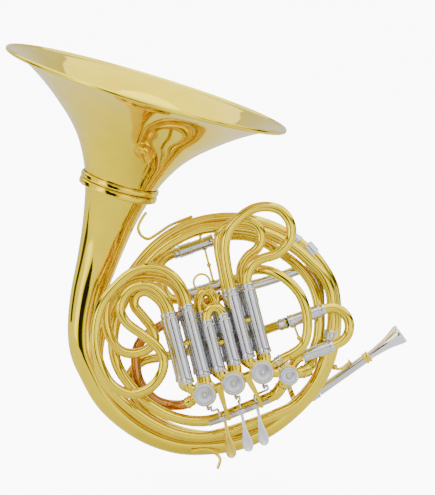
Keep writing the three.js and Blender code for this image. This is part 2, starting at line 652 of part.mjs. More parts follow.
for (const lever of FINGER_LEVERS) {
  const valve = VALVES[3 - lever.number];
  const pinX = valve.x + LINK_SIDE;
  const pinTop = LINK_SIDE;
  const pinZ = pinTop - LINK_LENGTH;
  const arm = leverArm([
    [lever.armX, AXLE_Y, AXLE_Z + 2.6], [lever.armX, AXLE_Y + 3.5, AXLE_Z + 10],
    [(lever.armX + pinX) / 2 + 2, -10, AXLE_Z + 11.2], [pinX + 3.2, 5, AXLE_Z + 10.2],
  ], pinX, pinZ);
  const whole = joined(bar(...lever.hub, AXLE_Y, AXLE_Z, HUB_R), paddle(lever.paddleX), ...arm);
  const bore = bar(lever.hub[0] - 1, lever.hub[1] + 1, AXLE_Y, AXLE_Z, HUB_BORE);
  add("lever_" + lever.number, cut(whole, bore), lever.finish, cluster);
  linkRod("link_rod_" + lever.number, pinX, pinTop, LINK_LENGTH);
  stopArm(valve, -LINK_SIDE);
}

// The axle of the finger levers, its spring barrels and the two straps that hold it.
const AXLE_ENDS = [-7.4, 61.4];
const BARRELS = [[-7.4, 4.5], [17, 23.5], [33.5, 41], [53.4, 61.4]];
const STRAPS = [{ top: 16.5, foot: [13, 16.5] }, { top: 48.7, foot: [49.5, 52.9] }];
const STRAP_FRONT = -38;
const STRAP_TOP_HALF = 3.4;
const STRAP_FOOT_HALF = 1.75;
const BARREL_R = 2.9;

function strap({ top, foot }) {
  const low = (foot[0] + foot[1]) / 2;
  const outline = new THREE.Shape([
    new THREE.Vector2(top - STRAP_TOP_HALF, 3.5), new THREE.Vector2(low - STRAP_FOOT_HALF, AXLE_Z - 3),
    new THREE.Vector2(low + STRAP_FOOT_HALF, AXLE_Z - 3), new THREE.Vector2(top + STRAP_TOP_HALF, 3.5),
  ]);
  const plate = new THREE.ExtrudeGeometry(outline, { depth: PLATE, bevelEnabled: false });
  plate.rotateX(Math.PI / 2);
  plate.translate(0, STRAP_FRONT + PLATE, 0);
  return [plate, box(foot[0], foot[1], STRAP_FRONT + 0.4, AXLE_Y + 2.6, AXLE_Z - 2.9, AXLE_Z + 3)];
}

add("lever_frame", joined(
  bar(...AXLE_ENDS, AXLE_Y, AXLE_Z, AXLE_R),
  ...BARRELS.map(([x0, x1]) => bar(x0, x1, AXLE_Y, AXLE_Z, BARREL_R)),
  ...STRAPS.flatMap(strap),
), nickel, cluster);

// The thumb lever works the fourth valve from the player's side of the horn.
const THUMB_VALVE = VALVES[3];
const THUMB_PIN = 4.6;
const THUMB_LINK = 12;
const THUMB_AXLE_Y = 36.5;
const THUMB_AXLE_Z = THUMB_VALVE.z - 2 * THUMB_PIN - THUMB_LINK + 9.2;
const THUMB_HUB = [80, 92];
const THUMB_X = 86;
const THUMB_END_R = 9;

function thumbPlate() {
  const outline = new THREE.Shape();
  outline.moveTo(THUMB_X - 2.5, THUMB_AXLE_Y + 2);
  outline.lineTo(THUMB_X - 3, THUMB_AXLE_Y + 8);
  outline.lineTo(THUMB_X - 8.5, THUMB_AXLE_Y + 16);
  outline.absarc(THUMB_X, THUMB_AXLE_Y + 20, THUMB_END_R, Math.PI, 0, true);
  outline.lineTo(THUMB_X + 3, THUMB_AXLE_Y + 8);
  outline.lineTo(THUMB_X + 2.5, THUMB_AXLE_Y + 2);
  const geometry = new THREE.ExtrudeGeometry(outline, {
    depth: PLATE, bevelEnabled: false, curveSegments: 8,
  });
  geometry.translate(0, 0, THUMB_AXLE_Z - PLATE / 2);
  return geometry;
}

const thumbPinX = THUMB_VALVE.x - THUMB_PIN;
const thumbPinTop = THUMB_VALVE.z - THUMB_PIN;
add("thumb_lever", cut(joined(
  bar(...THUMB_HUB, THUMB_AXLE_Y, THUMB_AXLE_Z, HUB_R), thumbPlate(),
  ...leverArm([
    [THUMB_X + 1, THUMB_AXLE_Y - 2.6, THUMB_AXLE_Z - 0.6],
    [thumbPinX + 3.6, THUMB_AXLE_Y - 11, THUMB_AXLE_Z - 3],
  ], thumbPinX, thumbPinTop - THUMB_LINK),
), bar(THUMB_HUB[0] - 1, THUMB_HUB[1] + 1, THUMB_AXLE_Y, THUMB_AXLE_Z, HUB_BORE)), silver, cluster);
linkRod("thumb_link_rod", thumbPinX, thumbPinTop, THUMB_LINK);
stopArm(THUMB_VALVE, THUMB_PIN);

const EAR = 3;
const EAR_HALF = 2.5;
const BRACKET_FOOT_Z = -50.8;
add("thumb_lever_bracket", joined(
  bar(THUMB_HUB[0] - EAR, THUMB_HUB[1] + EAR, THUMB_AXLE_Y, THUMB_AXLE_Z, AXLE_R),
  ...[THUMB_HUB[0] - GAP - EAR, THUMB_HUB[1] + GAP].map((x) =>
    box(
      x, x + EAR, THUMB_AXLE_Y - EAR_HALF, THUMB_AXLE_Y + EAR_HALF,
      THUMB_AXLE_Z - 6.5, THUMB_AXLE_Z + EAR_HALF,
    )),
  box(THUMB_HUB[0] - EAR, THUMB_HUB[1] + EAR, THUMB_AXLE_Y - 2.4, THUMB_AXLE_Y + 2.4,
    THUMB_AXLE_Z - 6.4, THUMB_AXLE_Z - 4.2),
  box(THUMB_X - 3, THUMB_X + 3, THUMB_AXLE_Y - 1.5, THUMB_AXLE_Y + 1, BRACKET_FOOT_Z, THUMB_AXLE_Z - 4.4),
), brass, cluster);

// ---- hooks and braces ----
const rod = (name, points, radius) => add(name, tube(route(vectors(points)), radius), brass);

rod("finger_hook", [
  [-15.5, 2, -138.8], [-0.4, 1.4, -137], [9, 0.5, -140], [15, -2, -146.3], [12.5, -6, -156],
], 1.8);
rod("hand_hook", [
  [-15.2, 13, 113.6], [-39, 14, 103.9], [-54.1, 14.5, 93.8], [-63, 14.5, 89.2],
  [-70.3, 14.5, 93], [-73.6, 14.5, 101.1], [-69.2, 14.5, 111.9], [-64.9, 14.5, 117.8],
], 1.7);
rod("leadpipe_brace", [
  [139.3, 16, -49.6], [142.5, 19.5, -52], [148, 22.5, -51], [157, 24.5, -44.3],
], 1.6);
rod("coil_brace", [[-6.5, 6.2, 94.8], [-6.3, 16.6, 87]], BRACE_R);

export default horn;
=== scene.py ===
import json
import math

import bmesh
import bpy
import numpy as np
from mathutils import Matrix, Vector


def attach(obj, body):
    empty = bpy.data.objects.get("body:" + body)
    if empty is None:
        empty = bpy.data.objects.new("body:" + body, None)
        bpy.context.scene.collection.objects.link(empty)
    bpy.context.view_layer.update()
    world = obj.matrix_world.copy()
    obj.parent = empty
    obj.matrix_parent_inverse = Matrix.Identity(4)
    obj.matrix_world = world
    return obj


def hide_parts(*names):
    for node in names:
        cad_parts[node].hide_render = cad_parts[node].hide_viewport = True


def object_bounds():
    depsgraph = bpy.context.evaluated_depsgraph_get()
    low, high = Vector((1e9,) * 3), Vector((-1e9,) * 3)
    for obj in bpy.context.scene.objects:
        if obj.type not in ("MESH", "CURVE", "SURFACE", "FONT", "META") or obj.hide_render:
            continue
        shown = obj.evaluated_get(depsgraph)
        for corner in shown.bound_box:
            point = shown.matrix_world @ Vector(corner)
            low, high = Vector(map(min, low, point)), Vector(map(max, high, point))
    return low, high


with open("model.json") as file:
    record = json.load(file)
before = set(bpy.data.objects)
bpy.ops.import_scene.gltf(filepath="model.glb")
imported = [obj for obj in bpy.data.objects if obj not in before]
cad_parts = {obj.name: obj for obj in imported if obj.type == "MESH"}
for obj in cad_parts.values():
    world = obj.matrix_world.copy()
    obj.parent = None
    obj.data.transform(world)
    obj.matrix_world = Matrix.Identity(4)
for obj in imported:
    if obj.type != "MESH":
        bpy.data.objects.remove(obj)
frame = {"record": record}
cad_low, cad_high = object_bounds()
record = frame["record"]
BODY_OF = {n: body for body, nodes in record["behaviour"]["bodies"].items() for n in nodes}
MM = 0.001

# ---- camera, in metres, at the photograph's view ----
CAMERA_PLACE = (0.0123, -1.5, 0.080)
LENS, SENSOR = 101.7, 36
camera = bpy.data.objects.new("camera", bpy.data.cameras.new("camera"))
bpy.context.scene.collection.objects.link(camera)
camera.location = CAMERA_PLACE
camera.rotation_euler = (math.pi / 2, 0, 0)
camera.data.sensor_width = SENSOR
camera.data.lens = LENS
camera.data.clip_start = 0.05
camera.data.clip_end = 50
bpy.context.scene.camera = camera

# ---- driving dimensions, in millimetres, as in the CAD ----
THROAT_R, TAPER_LENGTH, TAPER_POWER, WALL = 35.5, 90, 0.75, 0.9
RIM_R, BELL_HEIGHT, BEAD = 154, 117.4, 2.4
BELL_AXIS = np.array([0.291, -0.187, 0.938])
RING_CENTRE = np.array([-95.0, 0, 140.5])
BRANCH_R, LOOP_R, INLET_R = 5.9, 5.5, 5.2
SLEEVE_R, SLEEVE_BORE, LEG_R = 6.5, 5.85, 5.35
FRONT_Y, REAR_Y, MAIN_Y, F_Y = -31, -16.5, -13, 23
SLIDE_UP = np.array([-0.247, 0, 0.969])
MAIN_ALONG = np.array([0.9386, 0, 0.345])
F_ALONG = np.array([-0.9436, 0, -0.331])
LEG_DEPTH = 40
ROW_ANGLE = math.radians(21.06)
FIRST_AXIS = np.array([-1.2, 0, -73.5])
VALVE_PITCH = 32.4
CASING_FRONT, CASING_BACK, CASING_WALL = -41, 5, 1.7
CASING_R, THUMB_CASING_R = 12.4, 10.6
STEM_R, STUB_R, LINK_TUBE_R = 2.3, 5.2, 4.6
LINK_LEVELS = (-31, -14)
GAP = 0.3


def unit(v):
    v = np.asarray(v, float)
    return v / np.linalg.norm(v)


BELL_AXIS, SLIDE_UP = unit(BELL_AXIS), unit(SLIDE_UP)
MAIN_ALONG, F_ALONG = unit(MAIN_ALONG), unit(F_ALONG)
ROW_X = np.array([math.cos(ROW_ANGLE), 0, math.sin(ROW_ANGLE)])
ROW_Z = np.array([-math.sin(ROW_ANGLE), 0, math.cos(ROW_ANGLE)])


def row(x, y, z):
    """The place, in the part's frame, of a point given in the valve row's own frame."""
    return FIRST_AXIS + ROW_X * x + np.array([0, y, 0]) + ROW_Z * z


# ---- materials ----
MOTTLE_SCALE, GLOSS_SCALE, SCRATCH_SCALE = 35, 60, 900  # noise cells to a metre
SCRATCH_STRETCH = (1, 1, 0.15)
SCRATCH_DEPTH = 0.0002  # metres
GLOSS_SPREAD = (0.75, 1.35)  # shares of a metal's roughness, in its bright and its worn patches


def metal(name, colour, roughness, tint=0.06, scratch=0.004):
    """A polished metal with a slight mottle, fine wipe marks and worn patches in its gloss."""
    made = bpy.data.materials.new(name)
    made.use_nodes = True
    nodes, links = made.node_tree.nodes, made.node_tree.links
    shader = nodes["Principled BSDF"]
    shader.inputs["Metallic"].default_value = 1.0
    place = nodes.new("ShaderNodeTexCoord")

    def noise(scale, detail, stretch=(1, 1, 1)):
        mapping = nodes.new("ShaderNodeMapping")
        mapping.inputs["Scale"].default_value = stretch
        links.new(place.outputs["Object"], mapping.inputs["Vector"])
        texture = nodes.new("ShaderNodeTexNoise")
        texture.inputs["Scale"].default_value = scale
        texture.inputs["Detail"].default_value = detail
        links.new(mapping.outputs["Vector"], texture.inputs["Vector"])
        return texture.outputs["Fac"]

    mottle = nodes.new("ShaderNodeValToRGB")
    dark = [c * (1 - tint) for c in colour]
    light = [min(1, c * (1 + tint * 0.5)) for c in colour]
    mottle.color_ramp.elements[0].position = 0.35
    mottle.color_ramp.elements[0].color = (*dark, 1)
    mottle.color_ramp.elements[1].position = 0.65
    mottle.color_ramp.elements[1].color = (*light, 1)
    links.new(noise(MOTTLE_SCALE, 4), mottle.inputs["Fac"])
    links.new(mottle.outputs["Color"], shader.inputs["Base Color"])

    gloss = nodes.new("ShaderNodeMapRange")
    gloss.inputs["To Min"].default_value = roughness * GLOSS_SPREAD[0]
    gloss.inputs["To Max"].default_value = roughness * GLOSS_SPREAD[1]
    links.new(noise(GLOSS_SCALE, 6), gloss.inputs["Value"])
    links.new(gloss.outputs["Result"], shader.inputs["Roughness"])

    bump = nodes.new("ShaderNodeBump")
    bump.inputs["Strength"].default_value = scratch
    bump.inputs["Distance"].default_value = SCRATCH_DEPTH
    links.new(noise(SCRATCH_SCALE, 3, SCRATCH_STRETCH), bump.inputs["Height"])
    links.new(bump.outputs["Normal"], shader.inputs["Normal"])
    return made


BRASS = metal("lacquered_brass", (0.88, 0.67, 0.020), 0.05, tint=0.06)
# A darker, redder copy of the brass: painted shade and a painted reddish reflection, for a brass tube that
# lies in shadow.
SHADED_BRASS = metal("rose_brass", (0.55, 0.24, 0.05), 0.12, tint=0.08)
NICKEL = metal("nickel_silver", (0.66, 0.66, 0.68), 0.16, tint=0.05)
SILVER = metal("silver_plate", (0.86, 0.86, 0.87), 0.13, tint=0.03)
STEEL = metal("turned_steel", (0.55, 0.55, 0.56), 0.20, tint=0.08, scratch=0.02)
SATIN_SILVER = metal("satin_silver", (0.86, 0.86, 0.87), 0.30, tint=0.03)
SATIN_BRASS = metal("satin_brass", (0.95, 0.70, 0.10), 0.26, tint=0.04)


# ---- paths: the CAD's centripetal splines ----
STRAIGHT_STEP = 8


def spline(points, lead_in=0.0, lead_out=0.0, step=2.5):
    """Points about a step apart on the curve through the given ones, with straight leads."""
    p = np.array(points, float)
    if len(p) == 2:
        length = np.linalg.norm(p[1] - p[0])
        count = max(2, int(length / STRAIGHT_STEP) + 1)
        curve = p[0] + np.linspace(0, 1, count)[:, None] * (p[1] - p[0])
    else:
        p = np.vstack([2 * p[0] - p[1], p, 2 * p[-1] - p[-2]])
        made = []
        for a, b, c, d in zip(p, p[1:], p[2:], p[3:]):
            spans = (np.linalg.norm(y - x) for x, y in ((a, b), (b, c), (c, d)))
            t = np.cumsum([0, *(max(span, 1e-4) ** 0.5 for span in spans)])
            count = max(2, int(np.linalg.norm(c - b) / step))
            for s in np.linspace(t[1], t[2], count, endpoint=False):
                a1 = a + (b - a) * (s - t[0]) / (t[1] - t[0])
                a2 = b + (c - b) * (s - t[1]) / (t[2] - t[1])
                a3 = c + (d - c) * (s - t[2]) / (t[3] - t[2])
                b1 = a1 + (a2 - a1) * (s - t[0]) / (t[2] - t[0])
                b2 = a2 + (a3 - a2) * (s - t[1]) / (t[3] - t[1])
                made.append(b1 + (b2 - b1) * (s - t[1]) / (t[2] - t[1]))
        made.append(p[-2])
        curve = np.array(made)
    if lead_in:
        curve = np.vstack([curve[0] + unit(curve[0] - curve[1]) * lead_in, curve])
    if lead_out:
        curve = np.vstack([curve, curve[-1] + unit(curve[-1] - curve[-2]) * lead_out])
    return curve


def lengths(path):
    return np.concatenate([[0], np.cumsum(np.linalg.norm(np.diff(path, axis=0), axis=1))])


def stretch(path, start, end, count):
    """The part of a path between two distances from its start; a negative one is from its end."""
    s = lengths(path)
    start, end = (x if x >= 0 else s[-1] + x for x in (start, end))
    at = np.linspace(start, end, count)
    return np.array([[np.interp(x, s, path[:, k]) for k in range(3)] for x in at])


def frames(path):
    """A tangent and two normals at every point, turning as little as they can."""
    tangent = np.gradient(path, axis=0)
    tangent /= np.linalg.norm(tangent, axis=1)[:, None]
    first = np.cross(tangent[0], [0, 1, 0] if abs(tangent[0][1]) < 0.9 else [1, 0, 0])
    normal = [unit(first)]
    for t in tangent[1:]:
        normal.append(unit(normal[-1] - (normal[-1] @ t) * t))
    normal = np.array(normal)
    return tangent, normal, np.cross(tangent, normal)


# ---- shapes: vertices and faces gathered into one mesh ----
SHARP_ANGLE, BEVEL_ANGLE = math.radians(40), math.radians(50)


class Shape:
    def __init__(self):
        self.points, self.faces = [], []

    def grid(self, rings, closed_ends=True, loop=False):
        """Joins equal rings of points in order; loop joins the last ring to the first."""
        base = sum(len(p) for p in self.points)
        rings = [np.asarray(ring, float) for ring in rings]
        n = len(rings[0])
        self.points.extend(rings)
        count = len(rings)
        for i in range(count if loop else count - 1):
            a, b = base + i * n, base + ((i + 1) % count) * n
            for k in range(n):
                m = (k + 1) % n
                self.faces.append((a + k, a + m, b + m, b + k))
        if closed_ends and not loop:
            self.faces.append(tuple(base + k for k in reversed(range(n))))
            self.faces.append(tuple(base + (count - 1) * n + k for k in range(n)))
        return self

    def tube(self, path, radius, sides=28, bore=None):
        """A tube along a path; radius and bore are numbers or functions of the distance."""
        path = np.asarray(path, float)
        s = lengths(path)
        _, side, up = frames(path)
        turn = np.linspace(0, 2 * math.pi, sides, endpoint=False)
        wheel = np.cos(turn)[:, None, None] * side + np.sin(turn)[:, None, None] * up

        def rings(size):
            r = np.array([size(x) if callable(size) else size for x in s])
            return [path[i] + wheel[:, i] * r[i] for i in range(len(path))]

        outside = rings(radius)
        if bore is None:
            return self.grid(outside)
        return self.grid(outside + rings(bore)[::-1], loop=True)

    def turned(self, profile, origin, axis, sides=64, flutes=0, depth=0.0, flute_from=1e9):
        """A lathe profile of (radius, height) points round an axis. A profile that ends where it
        starts is a ring; flutes are cut where the radius is at least flute_from."""
        axis = unit(axis)
        side = unit(np.cross(axis, [0, 0, 1] if abs(axis[2]) < 0.9 else [1, 0, 0]))
        up = np.cross(axis, side)
        turn = np.linspace(0, 2 * math.pi, sides, endpoint=False)
        wave = depth * 0.5 * (np.cos(flutes * turn) - 1)
        rings = []
        for r, h in profile:
            size = r + (wave if r >= flute_from else 0 * wave)
            spoke = np.cos(turn)[:, None] * side + np.sin(turn)[:, None] * up
            rings.append(np.asarray(origin) + axis * h + spoke * np.maximum(size, 0.01)[:, None])
        loop = tuple(profile[0]) == tuple(profile[-1])
        if loop:
            rings = rings[:-1]
        return self.grid(rings, loop=loop)

    def ball(self, centre, radius, sides=20):
        turn = np.linspace(-math.pi / 2, math.pi / 2, 11)
        profile = [(radius * math.cos(t), radius * math.sin(t)) for t in turn]
        return self.turned(profile, centre, (0, 0, 1), sides)

    def disc_to(self, a, b, radius):
        """A plain cylinder from a to b."""
        a, b = np.asarray(a, float), np.asarray(b, float)
        long = np.linalg.norm(b - a)
        return self.turned([(radius, 0), (radius, long)], a, b - a, 24)

    def plate(self, outline, a, b, normal, origin, thickness):
        """A flat plate: outline points (x, y) along the directions a and b from the origin."""
        low = [np.asarray(origin) + np.asarray(a) * x + np.asarray(b) * y for x, y in outline]
        high = [p + np.asarray(normal) * thickness for p in low]
        return self.grid([low, high])

    def build(self, name, body, material, replaces=(), bevel=0.0):
        """One Blender piece on a body, with an optional rounding of its sharp edges."""
        mesh = bpy.data.meshes.new(name)
        points = np.vstack(self.points) * MM
        mesh.from_pydata(points.tolist(), [], self.faces)
        mesh.validate()
        mesh.polygons.foreach_set("use_smooth", [True] * len(mesh.polygons))
        mesh.set_sharp_from_angle(angle=SHARP_ANGLE)
        piece = bpy.data.objects.new(name, mesh)
        bpy.context.scene.collection.objects.link(piece)
        fix_normals(mesh)
        mesh.materials.append(material)
        if bevel:
            made = piece.modifiers.new("edge", "BEVEL")
            made.width = bevel * MM
            made.segments = 2
            made.limit_method = "ANGLE"
            made.angle_limit = BEVEL_ANGLE
        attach(piece, body)
        if replaces:
            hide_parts(*replaces)
        return piece


def fix_normals(mesh):
    work = bmesh.new()
    work.from_mesh(mesh)
    bmesh.ops.recalc_face_normals(work, faces=work.faces)
    work.to_mesh(mesh)
    work.free()


def stand_in(node, shape, material, **extra):
    """The fine piece that is shown in place of a CAD node."""
    return shape.build(node + "_fine", BODY_OF[node], material, replaces=[node], **extra)


# ---- bell ----
FLARE_OUTLINE = [
    (38.8, 9), (42.5, 18.5), (49, 32), (58, 46.8), (70.5, 61.5), (87, 76.5), (107, 92.4),
    (128, 105.8), (144, 113.5),
]
ROLL_START, ROLL_END = -2.0, 2.6  # angles of the rolled rim, in radians
RING_R, RING_FOOT, RING_SPLIT, RING_TOP = 43.0, -1.0, 6.2, 13.0
SPLIT_GAP, THREAD_TOP = 0.4, 8.2  # of the screw ring: between its halves, and its inner thread


def smooth_outline(points, step=2.5):
    return [(x, z) for x, _, z in spline([(r, 0, h) for r, h in points], step=step)]


def flare():
    bead = (RIM_R - BEAD, BELL_HEIGHT - BEAD)
    outside = smooth_outline(FLARE_OUTLINE)
    roll = [
        (bead[0] + BEAD * math.cos(t), bead[1] + BEAD * math.sin(t))
        for t in np.linspace(ROLL_START, ROLL_END, 14)
    ]
    inside = [(r - WALL * 0.6, h + WALL * 0.8) for r, h in reversed(outside)]
    lip = [(RIM_R - 2 * BEAD - 1.2, BELL_HEIGHT - 2.6)]
    profile = [*outside, *roll, *lip, *inside, outside[0]]
    stand_in("bell_flare", Shape().turned(profile, RING_CENTRE, BELL_AXIS, 180), BRASS)


def band(inner, outer, low, high, edge):
    """A ring's section with rounded outer edges."""
    arc = []
    for t in np.linspace(-math.pi / 2, 0, 7):
        arc.append((outer - edge + edge * math.cos(t), low + edge + edge * math.sin(t)))
    for t in np.linspace(0, math.pi / 2, 7):
        arc.append((outer - edge + edge * math.cos(t), high - edge + edge * math.sin(t)))
    return [(inner, low), *arc, (inner, high)]


def screw_ring():
    upper_foot = RING_SPLIT + SPLIT_GAP
    upper = band(41.0, RING_R, upper_foot, RING_TOP, edge=2.0)
    upper = [(39.4, upper_foot), *upper[1:-1], (41.2, RING_TOP), (39.4, 8.7), (39.4, upper_foot)]
    stand_in("flare_ring", Shape().turned(upper, RING_CENTRE, BELL_AXIS, 128), BRASS)
    lower = band(35.9, RING_R, RING_FOOT, RING_SPLIT, edge=2.2)
    lower = [
        *lower[:-1], (38.4, RING_SPLIT), (38.4, THREAD_TOP), (36.4, THREAD_TOP), (35.9, RING_FOOT),
    ]
    stand_in("body_ring", Shape().turned(lower, RING_CENTRE, BELL_AXIS, 128), BRASS)


# ---- coil: the tubes' centre lines, from the bell on ----
TAIL = [
    (-95.6, 0.4, 138.6), (-102, 4, 118), (-109.5, 8, 92.5), (-118.5, 12, 62), (-127.5, 14.5, 30.5),
    (-133, 15, -4), (-132, 15, -31), (-123.5, 15, -54), (-105.5, 15, -86.5), (-70.5, 15, -116.5),
    (-34, 15, -131.5), (-1, 15, -134), (36.5, 15, -129), (69, 15, -114.5), (96.5, 15, -93),
    (116.5, 15, -71), (129.5, 15, -46.5), (137, 15, -20), (139, 15, 9), (135.5, 15, 38.5),
    (123.5, 14, 60.5), (111.5, 13, 76),
]
FIRST_BRANCH = [
    (111, 13, 76.6), (96, 12, 89), (80, 12, 99), (58, 11, 107.5), (32.5, 10, 112),
    (-1, 10, 109.5), (-32.5, 10, 98), (-58.5, 10, 78.5), (-80, 10.8, 52.5), (-100.5, 8, 20),
    (-113, 2, -14), (-115.5, -3, -40.5), (-109, -4.5, -61.5), (-96, -5, -77.5), (-76, -5, -95),
    (-55.5, -4.5, -108.5), (-31, -4, -119), (-3, -4, -122.5), (23.5, -4, -117), (50.5, -3, -108),
    (76, -3, -98), (94.5, -2, -89), (108, -1.5, -76), (119.5, -1, -58), (127, 0, -38.5),
    (132, 0, -20.5),
]
SECOND_BRANCH = [
    (132.2, 0, -19.8), (135.5, 0, -3), (135.5, 0, 16), (133, 0, 34.5), (124.5, 0, 51.5),
    (110.5, 0, 65.5), (96.5, 0, 78), (79.5, 0, 88.5), (60, 0, 96.5), (42, 0, 101),
    (20.5, 0, 102), (-6.5, 0, 99), (-32, 0, 88), (-53.5, 0, 72), (-72, 0, 49.5), (-88, -1, 22.5),
    (-97.5, -1, -3), (-99.5, -2, -24.5), (-94.5, -2, -47), (-80.5, -4, -68), (-60, -7.5, -87.5),
    (-38.5, -9, -99), (-17, -9.5, -104.5), (4.5, -10, -104), (36.5, -11, -92.5), (59.5, -12, -83),
    (71, -13, -77.7), (76.5, -15, -73), (80.5, -16, -66.4),
]
LEADPIPE = [
    (122.5, 29, -77.9), (98.5, 31, -94.5), (70, 32, -111), (37, 32, -122), (-1.5, 31, -125.5),
    (-37.5, 29, -117), (-67, 25, -98.5), (-82, 21.5, -76), (-82, 20, -56.5), (-68.5, 18.5, -43.5),
    (-52.5, 17, -39.5), (-34, 16, -36), (-1, 14, -27), (31, 12, -18.5), (60, 6, -10),
    (75, -5, -4), (81, -11, -1.8), (87, -13, 0.3),
]
EXTENSION = [
    (9.4, 23, 88.9), (17, 22.5, 91.5), (27, 22, 93), (43.5, 20, 92.5), (58.5, 18, 88),
    (74.5, 15, 78.5), (91.5, 11, 66.5), (104.5, 8.5, 54.5), (115, 7, 38.5), (120.5, 5, 20),
    (121.5, 4, 0), (120, 4, -17.5), (116, 3, -30), (113.4, -4.5, -42), (108.2, -14.5, -49.3),
    (101, -20, -51.5),
]
INLET = [
    (21.6, 23, 41.9), (29, 20, 44.5), (36.5, 11, 48), (44, -1, 53), (54.5, -11, 56.5),
    (70, -18, 54.5), (87, -23, 44.5), (99.5, -25.5, 30), (106, -26, 12), (107, -26, -7),
    (102.5, -26, -23), (92, -26, -31.5), (81.5, -25, -37), (74, -24.5, -42.2),
]
RETURN_LOWER = [
    (-14.1, -10, -81.9), (-22, -8.5, -87), (-38.5, 3, -89), (-52.5, 3, -85),
    (-64.5, 4, -74.5), (-72.5, 6, -62.5), (-75.5, 7, -47.5), (-75, 8, -31.5), (-68, 8, -18),
    (-53, 8, -7), (-31.5, 8, 5), (-4.5, 9, 18), (17, 11, 28),
]
RETURN_UPPER = [
    (18, 11.2, 28.5), (36.5, 14, 36), (60.5, 18, 42), (85.5, 20, 50), (102, 21, 55.5),
    (112, 21, 53.5), (118.5, 20, 45), (122.5, 19, 34), (123.5, 20, 17.5), (124, 22, -4.5),
    (122, 24, -25), (113, 21, -42), (111, 12.5, -49), (108.4, 3.8, -53), (103, 0, -54.4),
]
FERRULE_BEAD, FERRULE_CHAMFER = 0.45, 0.35
TAIL_FERRULE_R, TAIL_FERRULE_BORE = 8.8, 7.9


def tail_radius(s):
    """The tail's radius at a distance from the screw ring."""
    return THROAT_R * (1 + s / TAPER_LENGTH) ** -TAPER_POWER


def ferrule(name, points, start, end, radius, material):
    """A soldered sleeve on a tube, with a fine bead at each end."""
    part = stretch(spline(points), start, end, 15)
    long = lengths(part)[-1]

    def size(s):
        edge = min(s, long - s)
        bead = FERRULE_BEAD if 0.5 < edge < 1.9 else 0
        return radius + bead - (FERRULE_CHAMFER if edge < 0.3 else 0)

    Shape().tube(part, size, 32).build(name, "horn_body", material)


def coil():
    tail = spline(TAIL)
    shape = Shape().tube(tail, tail_radius, 80, bore=lambda s: tail_radius(s) - WALL)
    stand_in("bell_tail", shape, BRASS)
    for node, points, radius, material in (
        ("first_branch", FIRST_BRANCH, BRANCH_R, BRASS),
        ("second_branch", SECOND_BRANCH, BRANCH_R, BRASS),
        ("leadpipe", LEADPIPE, INLET_R, BRASS),
        ("f_extension_tube", EXTENSION, LOOP_R, BRASS),
        ("f_inlet_tube", INLET, INLET_R, BRASS),
        # This brass tube takes the darker copy of the brass, as painted shade and painted reflection.
        ("return_tube_lower", RETURN_LOWER, LOOP_R, SHADED_BRASS),
        ("return_tube_upper", RETURN_UPPER, LOOP_R, NICKEL),
    ):
        stand_in(node, Shape().tube(spline(points), radius, 32), material)
    centre = spline([(115.4, 13.3, 71.8), (107, 12.7, 81.2)])
    sleeve = Shape().tube(centre, TAIL_FERRULE_R, 40, bore=TAIL_FERRULE_BORE)
    stand_in("tail_ferrule", sleeve, NICKEL, bevel=0.35)


def coil_ferrules():
    for name, points, start, end, radius, material in (
        ("branch_ferrule_front", SECOND_BRANCH, 0.2, 11, BRANCH_R + 0.7, NICKEL),
        ("branch_ferrule_back", FIRST_BRANCH, -11, -0.1, BRANCH_R + 0.7, NICKEL),
        ("first_branch_ferrule", FIRST_BRANCH, 14, 25, BRANCH_R + 0.6, NICKEL),
        ("second_branch_ferrule", SECOND_BRANCH, -15, -0.4, BRANCH_R + 0.6, BRASS),
        ("extension_ferrule_top", EXTENSION, 0.5, 11, LOOP_R + 0.7, NICKEL),
        ("extension_ferrule_end", EXTENSION, -9, -0.4, LOOP_R + 0.6, BRASS),
        ("inlet_ferrule_top", INLET, 0.5, 9, INLET_R + 0.7, NICKEL),
        ("inlet_ferrule_end", INLET, -8, -0.4, INLET_R + 0.6, NICKEL),
        ("return_ferrule_valve", RETURN_LOWER, 0.4, 8, LOOP_R + 0.6, BRASS),
        ("return_ferrule_middle", RETURN_UPPER, 0.1, 9, LOOP_R + 0.7, NICKEL),
        ("return_ferrule_end", RETURN_UPPER, -8, -0.4, LOOP_R + 0.6, BRASS),
        ("leadpipe_ferrule_foot", LEADPIPE, 0.2, 10, INLET_R + 0.6, NICKEL),
        ("leadpipe_ferrule_end", LEADPIPE, -9, -0.4, INLET_R + 0.9, NICKEL),
    ):
        ferrule(name, points, start, end, radius, material)


# ---- mouthpiece and receiver ----
RECEIVER_TIP, RECEIVER_FOOT = np.array([178.0, 25, -38]), np.array([123.0, 29, -77.5])
RECEIVER_R, RECEIVER_BORE = 5.1, 3.2
SHANK_DEPTH, BACKBORE_R = 24, 1.8  # of the mouthpiece in the receiver


